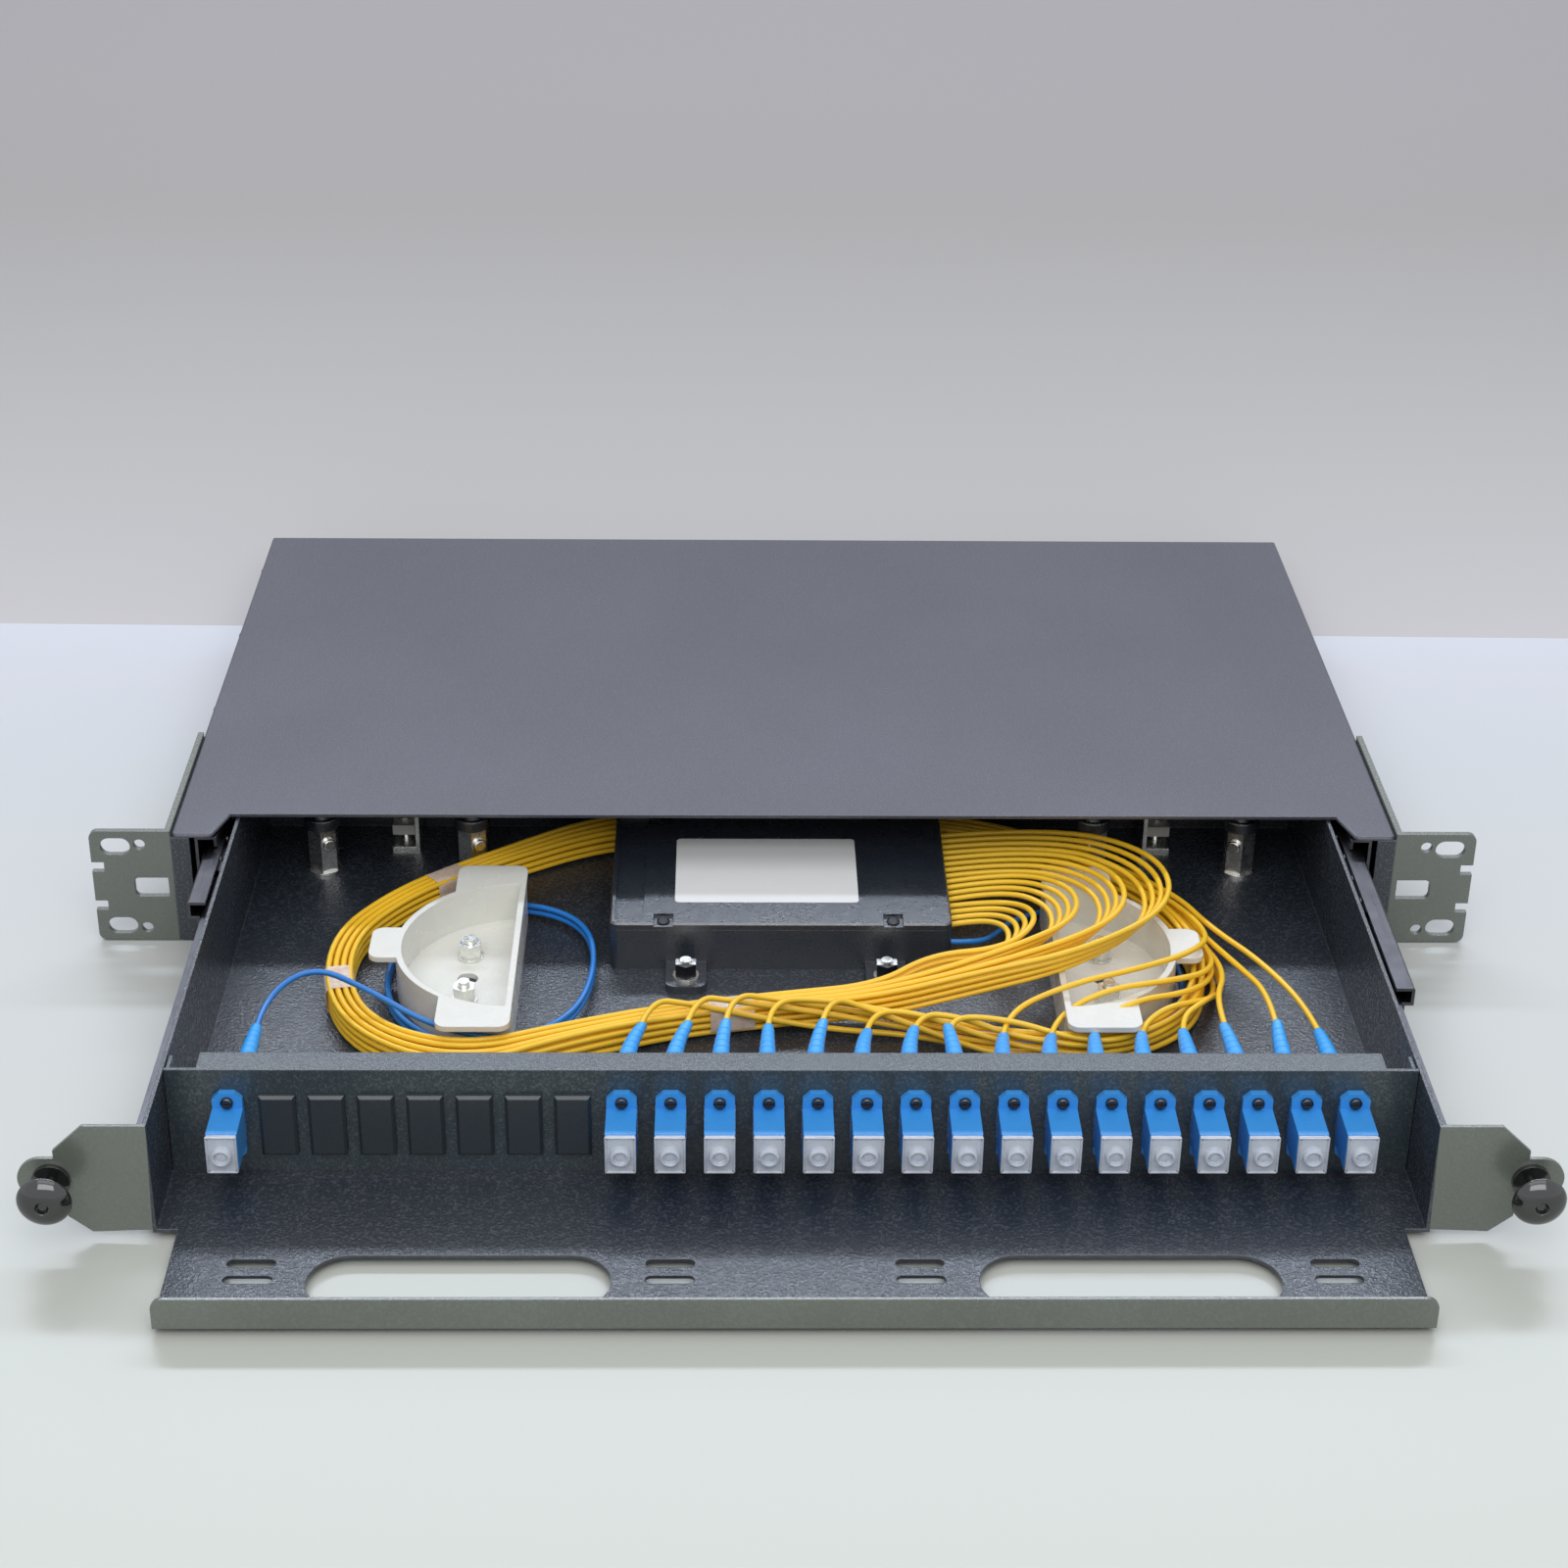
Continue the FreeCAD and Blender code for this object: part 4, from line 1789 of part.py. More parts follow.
def check_all():
    for thing in doc.Objects:
        if "Invalid" in thing.State or "Error" in thing.State:
            raise ValueError(f"{thing.Label} is not built: {thing.State}")
        shape = getattr(thing, "Shape", None)
        if shape is not None and (shape.isNull() or not shape.isValid()):
            raise ValueError(f"{thing.Label} has a bad shape")


def write_all():
    os.makedirs("parts", exist_ok=True)
    for thing in nodes:
        thing.Shape.exportStep(f"parts/{thing.Label}.step")
        solids = thing.Shape.Solids
        print(f"{thing.Label}: {len(solids)} solids, {thing.Shape.Volume:.0f} mm3")


build_all()
check_all()
write_all()
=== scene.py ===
import math

import bpy
from mathutils import Matrix, Vector


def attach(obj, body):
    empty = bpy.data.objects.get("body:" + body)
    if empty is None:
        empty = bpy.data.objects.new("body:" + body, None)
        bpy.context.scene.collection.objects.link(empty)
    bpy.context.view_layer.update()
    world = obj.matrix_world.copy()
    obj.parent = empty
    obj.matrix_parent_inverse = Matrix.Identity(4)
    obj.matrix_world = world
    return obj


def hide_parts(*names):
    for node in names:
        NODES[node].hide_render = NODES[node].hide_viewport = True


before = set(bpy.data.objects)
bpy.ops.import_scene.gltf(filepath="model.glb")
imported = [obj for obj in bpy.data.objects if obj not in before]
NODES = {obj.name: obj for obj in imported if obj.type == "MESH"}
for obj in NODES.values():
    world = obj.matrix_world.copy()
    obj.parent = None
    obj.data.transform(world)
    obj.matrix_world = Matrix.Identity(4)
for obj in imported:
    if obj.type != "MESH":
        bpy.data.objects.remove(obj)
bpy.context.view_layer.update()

MM = 0.001
LIFT = -22.0  # mm: heights are given above the chassis floor, the frame starts at mid height


# --- camera ----------------------------------------------------------------------------------

EYE = (-0.02109, -0.88109, 0.53647)  # m, the last of them above the chassis floor
pitch, yaw, roll = 0.4928, 0.0229, 0.0137  # radians: looking down, to the right, and tilted
flat = math.cos(pitch)
ahead = Vector((math.sin(yaw) * flat, math.cos(yaw) * flat, -math.sin(pitch)))
level = Vector((math.cos(yaw), -math.sin(yaw), 0.0))
above = level.cross(ahead)
right = math.cos(roll) * level + math.sin(roll) * above
upward = -math.sin(roll) * level + math.cos(roll) * above
camera_data = bpy.data.cameras.new("camera")
camera_data.sensor_width = 36.0
camera_data.lens = 66.77
camera = bpy.data.objects.new("camera", camera_data)
bpy.context.scene.collection.objects.link(camera)
turned_to = Matrix((right, upward, -ahead)).transposed()
stand = Matrix.Translation((EYE[0], EYE[1], EYE[2] + LIFT * MM))
camera.matrix_world = stand @ turned_to.to_4x4()
bpy.context.scene.camera = camera


# --- shared effects --------------------------------------------------------------------------


class Effect:
    """A shader node group with named inputs and outputs, made once for several finishes."""

    def __init__(self, name, inputs, outputs):
        self.tree = bpy.data.node_groups.new(name, "ShaderNodeTree")
        for label, kind in inputs:
            self.tree.interface.new_socket(label, in_out="INPUT", socket_type=kind)
        for label, kind in outputs:
            self.tree.interface.new_socket(label, in_out="OUTPUT", socket_type=kind)
        self.given = self.tree.nodes.new("NodeGroupInput").outputs
        self.result = self.tree.nodes.new("NodeGroupOutput").inputs

    def node(self, kind, links=(), values=(), **settings):
        node = self.tree.nodes.new(kind)
        for key, value in settings.items():
            setattr(node, key, value)
        for socket, value in values:
            node.inputs[socket].default_value = value
        for socket, source in links:
            self.tree.links.new(source, node.inputs[socket])
        return node.outputs

    def give(self, label, source):
        self.tree.links.new(source, self.result[label])


def noise_in(effect, place, scale, detail, roughness=0.5):
    links = (("Vector", place), ("Scale", effect.given[scale]))
    values = (("Detail", detail), ("Roughness", roughness))
    return effect.node("ShaderNodeTexNoise", links, values)["Fac"]


def grain_effect():
    """Cloudy patches over fine grain, as on paint and moulded plastic."""
    both = (("Patches", "NodeSocketFloat"), ("Grain", "NodeSocketFloat"))
    effect = Effect("patches_and_grain", (("Place", "NodeSocketVector"), *both), both)
    place = effect.given["Place"]
    effect.give("Patches", noise_in(effect, place, "Patches", 3.0))
    effect.give("Grain", noise_in(effect, place, "Grain", 2.0, 0.55))
    return effect.tree


def brushed_effect():
    """Fine lines along one axis over soft patches, as on rolled and plated metal."""
    inputs = (
        ("Place", "NodeSocketVector"), ("Stretch", "NodeSocketVector"), ("Lines", "NodeSocketFloat"),
    )
    outputs = (("Patches", "NodeSocketFloat"), ("Lines", "NodeSocketFloat"))
    effect = Effect("brushed_metal", inputs, outputs)
    place = effect.given["Place"]
    links = (("Vector", place), ("Scale", effect.given["Stretch"]))
    stretched = effect.node("ShaderNodeMapping", links)["Vector"]
    effect.give("Lines", noise_in(effect, stretched, "Lines", 4.0, 0.6))
    links = (("Vector", place),)
    values = (("Scale", 160.0), ("Detail", 3.0))
    effect.give("Patches", effect.node("ShaderNodeTexNoise", links, values)["Fac"])
    return effect.tree


def edge_effect():
    """Rounded normals at sharp edges, and a mask that is white along them."""
    inputs = (("Radius", "NodeSocketFloat"),)
    outputs = (("Normal", "NodeSocketVector"), ("Edge", "NodeSocketFloat"))
    effect = Effect("rounded_edges", inputs, outputs)
    links = (("Radius", effect.given["Radius"]),)
    rounded = effect.node("ShaderNodeBevel", links, samples=4)["Normal"]
    flat = effect.node("ShaderNodeNewGeometry")["Normal"]
    links = ((0, rounded), (1, flat))
    match = effect.node("ShaderNodeVectorMath", links, operation="DOT_PRODUCT")["Value"]
    limits = (("From Min", 0.99), ("From Max", 0.85), ("To Min", 0.0), ("To Max", 1.0))
    effect.give("Normal", rounded)
    effect.give("Edge", effect.node("ShaderNodeMapRange", (("Value", match),), limits)["Result"])
    return effect.tree


GRAIN = grain_effect()
BRUSHED = brushed_effect()
EDGES = edge_effect()


# --- finishes --------------------------------------------------------------------------------


class Finish:
    """A node-based material: one shader, fed by the shared effects with values of its own."""

    def __init__(self, name, **settings):
        self.material = bpy.data.materials.new(name)
        self.material.use_nodes = True
        self.tree = self.material.node_tree
        self.tree.nodes.clear()
        self.output = self.tree.nodes.new("ShaderNodeOutputMaterial")
        self.shader = self.tree.nodes.new("ShaderNodeBsdfPrincipled")
        self.link(self.shader.outputs["BSDF"], self.output.inputs["Surface"])
        self.place = self.node("ShaderNodeTexCoord")["Object"]
        self.normal = None
        for label, value in settings.items():
            self.shader.inputs[label.replace("_", " ")].default_value = value

    def link(self, source, target):
        self.tree.links.new(source, target)

    def node(self, kind, links=(), values=(), **settings):
        node = self.tree.nodes.new(kind)
        for key, value in settings.items():
            setattr(node, key, value)
        for socket, value in values:
            node.inputs[socket].default_value = value
        for socket, source in links:
            self.link(source, node.inputs[socket])
        return node.outputs

    def effect(self, tree, links=(), values=()):
        return self.node("ShaderNodeGroup", links, values, node_tree=tree)

    def feed(self, label, source):
        self.link(source, self.shader.inputs[label])

    def mix(self, mask, first, second):
        node = self.tree.nodes.new("ShaderNodeMix")
        node.data_type = "RGBA"
        self.link(mask, node.inputs["Factor"])
        for socket, value in ((node.inputs[6], first), (node.inputs[7], second)):
            if isinstance(value, tuple):
                socket.default_value = (*value, 1.0)
            else:
                self.link(value, socket)
        return node.outputs[2]

    def between(self, source, low, high, start=0.3, stop=0.7):
        limits = (("From Min", start), ("From Max", stop), ("To Min", low), ("To Max", high))
        return self.node("ShaderNodeMapRange", (("Value", source),), limits)["Result"]

    def bump(self, source, distance):
        node = self.tree.nodes.new("ShaderNodeBump")
        node.inputs["Distance"].default_value = distance
        self.link(source, node.inputs["Height"])
        if self.normal is not None:
            self.link(self.normal, node.inputs["Normal"])
        self.normal = node.outputs["Normal"]
        self.feed("Normal", self.normal)

    def round_edges(self, radius):
        edges = self.effect(EDGES, values=(("Radius", radius),))
        self.normal = edges["Normal"]
        self.feed("Normal", self.normal)
        return edges["Edge"]


def shades(colour, spread):
    """A colour a share darker, and as much lighter."""
    sides = (1 - spread, 1 + spread)
    return [tuple(min(1.0, channel * side) for channel in colour) for side in sides]


COAT_GLINT = (0.22, 0.24, 0.28)  # painted highlight: the pale colour of the lit coat, painted along the edges and on grain speckles


def painted(name, colour, roughness, grain, depth, ior):
    """Glossy coat on sheet steel: orange-peel grain, with painted highlights along the edges and on
    the grain's speckles.
    """
    finish = Finish(name, IOR=ior)
    # painted highlight: a mask along the edges, taking the colour at most half way to the pale lit
    # coat
    edge_glint = finish.between(finish.round_edges(0.0005), 0.0, 0.5, 0.0, 1.0)
    values = (("Patches", 14.0), ("Grain", grain))
    surface = finish.effect(GRAIN, (("Place", finish.place),), values)
    dark, light = shades(colour, 0.12)
    ground = finish.mix(finish.between(surface["Patches"], 0.0, 1.0, 0.35, 0.65), dark, light)
    # painted highlight: pale speckles on the peaks of the grain, for the glints of the coat
    ground = finish.mix(finish.between(surface["Grain"], 0.0, 0.22, 0.50, 0.66), ground, COAT_GLINT)
    # painted highlight along the edges, where they catch the light
    finish.feed("Base Color", finish.mix(edge_glint, ground, COAT_GLINT))
    dull, glossy = roughness + 0.10, roughness - 0.06
    finish.feed("Roughness", finish.between(surface["Grain"], dull, glossy, 0.35, 0.65))
    finish.bump(surface["Grain"], depth)
    return finish


def moulded(name, colour, roughness, grain, depth, edge=0.0002, spread=0.05, **settings):
    """Moulded plastic: even colour with a faint cloud, fine grain and small round edges."""
    finish = Finish(name, **settings)
    finish.round_edges(edge)
    values = (("Patches", 90.0), ("Grain", grain))
    surface = finish.effect(GRAIN, (("Place", finish.place),), values)
    dark, light = shades(colour, spread)
    finish.feed("Base Color", finish.mix(surface["Patches"], dark, light))
    finish.feed("Roughness", finish.between(surface["Patches"], roughness - 0.04, roughness + 0.05))
    finish.bump(surface["Grain"], depth)
    return finish


def plated(name, colour, roughness, stretch=(1.0, 1.0, 1.0)):
    """Bare or plated metal with fine lines along the way it was rolled or turned."""
    finish = Finish(name, Metallic=1.0)
    finish.round_edges(0.0002)
    values = (("Stretch", stretch), ("Lines", 380.0))
    surface = finish.effect(BRUSHED, (("Place", finish.place),), values)
    dark, light = shades(colour, 0.14)
    finish.feed("Base Color", finish.mix(finish.between(surface["Patches"], 0.0, 1.0), dark, light))
    finish.feed("Roughness", finish.between(surface["Lines"], roughness - 0.07, roughness + 0.1))
    finish.bump(surface["Lines"], 0.00003)
    return finish


def clear_cap():
    """Clear bluish plastic, milky in places."""
    finish = Finish("cap_clear", IOR=1.46, Transmission_Weight=0.35)
    finish.round_edges(0.0003)
    values = (("Patches", 420.0), ("Grain", 900.0))
    surface = finish.effect(GRAIN, (("Place", finish.place),), values)
    milky, clear = (0.62, 0.72, 0.88), (0.95, 0.97, 1.0)
    finish.feed("Base Color", finish.mix(surface["Patches"], milky, clear))
    finish.feed("Roughness", finish.between(surface["Patches"], 0.10, 0.26))
    finish.bump(surface["Grain"], 0.00003)
    return finish


def tape_film():
    """Thin wrapping film, creased where it hugs the fibres, so that they show through it."""
    finish = Finish("tape_film", Roughness=0.2)
    values = (("Patches", 300.0), ("Grain", 700.0))
    surface = finish.effect(GRAIN, (("Place", finish.place),), values)
    amber, pale = (0.93, 0.74, 0.60), (1.0, 0.92, 0.84)
    finish.feed("Base Color", finish.mix(surface["Patches"], amber, pale))
    finish.feed("Alpha", finish.between(surface["Patches"], 0.42, 0.66))
    finish.bump(surface["Patches"], 0.0004)
    return finish


LOOKS = {
    "textured_coat": painted("textured_coat", (0.020, 0.026, 0.036), 0.27, 1000.0, 0.00028, 1.7),
    "cover_coat": painted("cover_coat", (0.042, 0.043, 0.060), 0.36, 1900.0, 0.00010, 1.6),
    "ear_coat": painted("ear_coat", (0.122, 0.140, 0.114), 0.24, 1200.0, 0.00001, 1.8),
    "panel_coat": painted("panel_coat", (0.024, 0.040, 0.048), 0.22, 1300.0, 0.00004, 1.7),
    "slide_steel": plated("slide_steel", (0.10, 0.10, 0.11), 0.30, (1.0, 0.06, 1.0)),
    "plated_screws": plated("plated_screws", (0.060, 0.060, 0.066), 0.32),
    "zinc": plated("zinc", (0.78, 0.78, 0.74), 0.26),
    "module_steel": plated("module_steel", (0.62, 0.63, 0.65), 0.30, (0.05, 1.0, 1.0)),
    "black_plastic": moulded(
        "black_plastic", (0.018, 0.024, 0.034), 0.27, 1500.0, 0.00020, IOR=2.0),
    "blank_plastic": moulded(
        "blank_plastic", (0.026, 0.036, 0.044), 0.28, 1500.0, 0.00002, edge=0.0004),
    "latch_black": moulded(
        "latch_black", (0.012, 0.013, 0.012), 0.08, 900.0, 0.000003, edge=0.0003, IOR=1.8),
    "label_white": moulded("label_white", (0.84, 0.85, 0.84), 0.14, 500.0, 0.00001, spread=0.02),
    "spool_ivory": moulded(
        "spool_ivory", (0.76, 0.76, 0.705), 0.26, 700.0, 0.00002, 0.0005, 0.03,
        Subsurface_Weight=0.12, Subsurface_Scale=0.002),
    "adapter_blue": moulded("adapter_blue", (0.044, 0.31, 0.78), 0.24, 2400.0, 0.00001),
    "plug_blue": moulded("plug_blue", (0.050, 0.42, 1.0), 0.30, 1200.0, 0.00001),
    "fibre_yellow": moulded("fibre_yellow", (1.0, 0.60, 0.030), 0.34, 500.0, 0.00001, 0.0001),
    "fibre_blue": moulded("fibre_blue", (0.018, 0.20, 0.62), 0.34, 500.0, 0.00001, 0.0001, 0.06),
    "cap_clear": clear_cap(),
    "tape_film": tape_film(),
}

DRESSED = {
    "chassis_base": "textured_coat",
    "chassis_cover": "cover_coat",
    "drawer_tray": "textured_coat",
    "adapter_panel": "panel_coat",
    "rack_ear_left": "ear_coat",
    "rack_ear_right": "ear_coat",
    "chassis_screws": "plated_screws",
    "adapter_screws": "plated_screws",
    "slide_standoffs": "plated_screws",
    "post_screws": "zinc",
    "latch_grommet_left": "latch_black",
    "latch_grommet_right": "latch_black",
    "latch_plunger_left": "latch_black",
    "latch_plunger_right": "latch_black",
    "spool_left": "spool_ivory",
    "spool_right": "spool_ivory",
    "spool_nuts": "zinc",
    "strength_posts": "zinc",
    "post_caps": "black_plastic",
    "cable_clamps": "zinc",
    "clamp_saddles": "spool_ivory",
    "splitter_case": "black_plastic",
    "splitter_lid": "black_plastic",
    "splitter_label": "label_white",
    "splitter_chip": "module_steel",
    "splitter_fasteners": "zinc",
    "dust_caps": "cap_clear",
    "blank_plugs": "blank_plastic",
    "sc_connectors": "plug_blue",
    "connector_boots": "plug_blue",
    "tape_wraps": "tape_film",
    "input_fibre": "fibre_blue",
    "output_fibres": "fibre_yellow",
}
for node_name, node in NODES.items():
    key = DRESSED.get(node_name)
    if key is None:
        key = "adapter_blue" if node_name.startswith("sc_adapter") else "slide_steel"
    node.data.materials.clear()
    node.data.materials.append(LOOKS[key].material)


def also(node_name, key, belongs):
    """Gives the faces of a node whose middle lies in a certain place a second finish."""
    mesh = NODES[node_name].data
    mesh.materials.append(LOOKS[key].material)
    for face in mesh.polygons:
        x, y, z = face.center / MM
        if belongs(x, y, z - LIFT):
            face.material_index = len(mesh.materials) - 1


# mm: the zinc studs that stand in the drawer's floor, under the spools and the splitter
STUDS = [(side * 109.0, back) for side in (-1, 1) for back in (-48.0, -20.0)]
STUDS += [(side * 34.4, -34.0) for side in (-1, 1)]
STUD_REACH, TRAY_TOP = 2.3, 3.55
LID_SCREWS_FROM = 8.0  # the splitter's own screws are higher up than the nuts that hold it
NUT_ROW = (-36.0, -32.0)
FLAP_FRONT, EAR_FRONT, EAR_INSIDE = -217.0, -171.0, 196.0  # the drawer's front faces, given the paler grey coat as painted light


def on_a_stud(x, y, z):
    near = (math.hypot(x - across, y - back) < STUD_REACH for across, back in STUDS)
    return z > TRAY_TOP and any(near)


def on_the_lid(x, y, z):
    return z > LID_SCREWS_FROM and not NUT_ROW[0] < y < NUT_ROW[1]


def painted_lit_fronts(x, y, z):
    return y < FLAP_FRONT or (abs(x) > EAR_INSIDE and y < EAR_FRONT)


also("drawer_tray", "zinc", on_a_stud)
# painted light: the drawer's front lip and the fronts by its ears take the paler grey coat, for the
# light that falls on them from the front
also("drawer_tray", "ear_coat", painted_lit_fronts)
also("splitter_fasteners", "plated_screws", on_the_lid)


# --- fibres ----------------------------------------------------------------------------------

FIBRE = 2.0  # mm across the jacket
PORT_HEIGHT = 21.5  # middle of the ports above the chassis floor
USED_PORTS = (-172.5, *(-52.5 + 15.0 * step for step in range(16)))
# how far the tip of the boot in each used port is bent aside and up
BENT = (
    (0.1, -1.3), (4.6, -0.7), (4.5, 0.0), (1.9, 0.8), (0.6, -1.1), (3.4, 0.8), (2.8, -2.9),
    (3.0, -1.8), (-1.1, -1.0), (2.2, -4.4), (2.9, -4.7), (1.9, -4.3), (2.3, -3.9), (0.6, -2.8),
    (-1.1, -0.5), (1.1, 0.7), (-0.1, -2.7),
)
BEND_START, BEND_LENGTH = -114.0, 27.0  # where along Y a boot begins to bend, and over how much
FIBRE_END = -95.0  # a fibre ends inside its boot, no further in than this


def fibre(name, points, look, node):
    """One free fibre: an open NURBS line through the air, given a round section."""
    curve = bpy.data.curves.new(name, "CURVE")
    curve.dimensions = "3D"
    spline = curve.splines.new("NURBS")
    spline.points.add(len(points) - 1)
    for target, (x, y, z) in zip(spline.points, points):
        target.co = (x * MM, y * MM, (z + LIFT) * MM, 1.0)
    spline.order_u = 3
    spline.use_endpoint_u = True
    spline.resolution_u = 8
    curve.bevel_depth = FIBRE * MM / 2
    curve.bevel_resolution = 3
    curve.use_fill_caps = True
    curve.materials.append(LOOKS[look].material)
    piece = bpy.data.objects.new(name, curve)
    bpy.context.scene.collection.objects.link(piece)
    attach(piece, "drawer")
    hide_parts(node)
    x, y, z = points[0]


# the outputs' way through the tray repeats the model's: one loop, with lanes and rows beside it
LANES, ROWS = 4, 4  # the outputs lie in lanes side by side, each four rows high
LANE, ROW, LOW_ROW = 2.3, 2.5, 5.0  # from lane to lane, from row to row, height of the lowest row
EXIT_X, FIRST_EXIT, EXIT_STEP, EXIT_HEIGHT = 55.4, -15.6, 4.2, 16.0
LOOP = (
    (30, -49.2), (-2, -53.5), (-38, -60), (-70, -74), (-108, -89), (-143, -68), (-151, -22),
    (-133, 10), (-104, 33.5), (-62, 60), (-15, 62.5), (35, 62), (72, 56.5), (104, 33), (130, 6),
    (141.5, -30), (135, -64), (108, -83), (72, -79), (40, -67.5),
)
RISE = (8.1, 2.5)  # how much higher the bundle lies at the first two points of the loop
# how loosely the bundle lies at each point: spread across, spread up, twist in degrees, shift
LIE = (
    (1.0, 1.0, 0, (0, -6, -4)), (1.0, 1.0, 0, (0, -2.5, -1.5)), (1.0, 1.0, 0, (0, -1.5, 0)),
    (1.35, 1.1, 14, (0, -1.5, 0.8)), (1.3, 1.15, -10, (0, -2.2, 0.6)),
    (1.05, 1.05, 0, (-0.5, -1, 0.2)), (1.08, 1.0, 0, (-0.5, 0, 0.1)), (1.0, 1.0, 0, (0, 0, 0)),
    (1.0, 1.0, 0, (0, 0, 0)), (1.25, 1.15, 10, (0, -1, 1.0)), (1.2, 1.1, -8, (0, -2, 0.8)),
    (1.2, 1.1, 6, (0, -2, 0.8)), (1.15, 1.1, 0, (0, 0, 0.3)), (1.2, 1.1, 8, (1, 1, 0.8)),
    (1.25, 1.1, -8, (1.5, 0, 0.8)), (1.25, 1.1, 0, (0.8, 0, 0.3)), (1.3, 1.1, 10, (-0.5, 0, 0.8)),
    (1.25, 1.1, -12, (0, -1, 0.9)), (1.2, 1.1, 8, (0, -1, 0.9)),
)
# where the bundle is loose, each fibre strays a little from its lane and row
STRAY = (0.3, -0.5, 0.6, -0.2, 0.5, -0.6, 0.1, 0.4, -0.4, 0.6, -0.3, 0.2, -0.6, 0.4, 0.5, -0.1)
LOOSE = 1.1  # spread from which the bundle is loose
LOWEST = 4.7  # a fibre that lies on the drawer's floor
# per output: its port, how many points of the loop it keeps, how far back it turns, its own points
TAILS = (
    (1, 20, -70.5, ((16, -67.3, 6.5), (-10, -67.5, 11.5), (-33.5, -68.2, 17.5))),
    (2, 20, -70, ((8, -67.6, 14), (-18.5, -67.8, 18.2))),
    (3, 20, -70, ((22, -67.4, 14.2), (-3.5, -67.6, 18.7))),
    (4, 20, -70, ((11.5, -67.7, 19),)),
    (5, 19, -71.5, ((52, -74.3, 8), (26.5, -69.8, 16.5))),
    (6, 18, -72.5, ((84, -83.5, 8.5), (62, -78, 11.8), (41.5, -72.5, 17))),
    (7, 18, -76, ((76, -82.5, 13), (56.5, -76.5, 17.7))),
    (8, 18, -79.5, ((92, -84.5, 14.5), (72, -81, 17.8))),
    (12, 16, -79, ((144.5, -51, 9), (137, -67, 15), (124, -75.5, 20.8))),
    (11, 15, -75.5, ((146, -28, 9), (142.5, -50, 14.6), (131, -64, 18.8), (115.5, -72.5, 22))),
    (10, 15, -73.5, (
        (146.5, -26, 12.5), (143.5, -48, 17.5), (127, -61.5, 22.3), (104, -68.5, 23.3)
    )),
    (9, 15, -70.5, ((146.5, -24, 18), (138, -45, 23.8), (117, -58.5, 25.2), (93, -66.5, 24.2))),
    (13, 15, -77, ((147.5, -20, 5), (149, -46, 8.5), (140.5, -66, 16))),
    (14, 15, -71, ((146.5, -16, 8.5), (149, -44, 14))),
    (15, 15, -71, ((145.5, -13, 11), (153.5, -42, 16))),
    (16, 15, -71, ((148, -14, 14.5), (161, -42, 18))),
)
# own points that are moved a little in the tray: output and place
MOVED = {
    (7, 1): (71.9, -80.6, 19.4), (8, 1): (136, -64.9, 16.4), (9, 0): (147.3, -29.6, 9.4),
    (12, 2): (138.5, -66.4, 17.9),
}


def beside(points, reach):
    """An open run of points in plan, moved to its left by reach with its legs kept parallel."""
    moved = []
    for index, (x, y) in enumerate(points):
        around = points[max(index - 1, 0):index + 2]
        legs = [(Vector(far) - Vector(near)).normalized() for near, far in zip(around, around[1:])]
        middle = sum(legs, Vector((0, 0))).normalized()
        share = reach / middle.dot(legs[0])
        moved.append((round(x - middle.y * share, 1), round(y + middle.x * share, 1)))
    return moved


# the outermost output turns off before the loop ends, so the last places of its lane are set
OUTER_LANE = (
    *beside(LOOP, (LANES - 1) * LANE)[:15],
    (148.3, -29.5), (140.8, -67.5), (109.3, -90.2), (71, -85.9),
)


def turn_down(index, lane, row):
    """The first points of an output: out of the splitter, over the right spool and to the front."""
    exit_y = FIRST_EXIT + EXIT_STEP * index
    low = index < 4
    top = 21.3 if low else 23.3
    front = -45.0 - LANE * lane
    radius, middle = (exit_y - front) / 2, (exit_y + front) / 2
    half_side = radius * math.tan(math.radians(22.5))
    first = EXIT_X + min(1.96 * half_side, 30 + 0.5 * half_side)
    far = first - half_side + radius
    apart = (0, 2, 6, 9)[lane]  # the outer lanes swing out further
    points = [
        (EXIT_X, exit_y, EXIT_HEIGHT),
        (first + (0.5 * apart if first > 70 else 0), exit_y, 18.5 if low else 20.6),
        (far + apart, middle + half_side, top + 0.8 * row),
        (far + apart, middle - half_side, top + 1.8 * row),
        (first + 0.5 * apart, front - 2, (18.3 if low else 22.4) + ROW * row),
    ]
    if low:
        points.append((48, front - 1.8, 15.8 + ROW * row))
    elif index < 6:
        points.append((54, front - 5.8, 15.5 + ROW * row))
    elif lane == LANES - 1:
        points.append((62, front - 7.3, 16.1 + ROW * row))
    return points


def on_the_loop(index, lane, row, place, x, y):
    """A point of the loop: the bundle's own grid there, spread, twisted and shifted as it lies."""
    z = LOW_ROW + ROW * row + (RISE[place] if place < len(RISE) else 0)
    if place >= len(LIE):
        return x, y, z
    wide, tall, twist, shift = LIE[place]
    inner, outer = Vector(LOOP[place]), Vector(OUTER_LANE[place])
    middle, aside = (inner + outer) / 2, (outer - inner).normalized()
    half_height = ROW * (ROWS - 1) / 2
    centre = LOW_ROW + half_height + (RISE[place] if place < len(RISE) else 0)
    across, up = (Vector((x, y)) - middle).dot(aside) * wide, (z - centre) * tall
    if wide > LOOSE:
        across += 0.7 * STRAY[(index + 3 * place) % len(STRAY)]
        up += 0.5 * STRAY[(5 * index + place) % len(STRAY)]
    turn = math.radians(twist)
    over = across * math.cos(turn) - up * math.sin(turn)
    rise = across * math.sin(turn) + up * math.cos(turn)
    height = centre + rise + shift[2] + (tall - 1) * half_height
    x, y = middle.x + aside.x * over + shift[0], middle.y + aside.y * over + shift[1]
    return x, y, max(height, LOWEST)


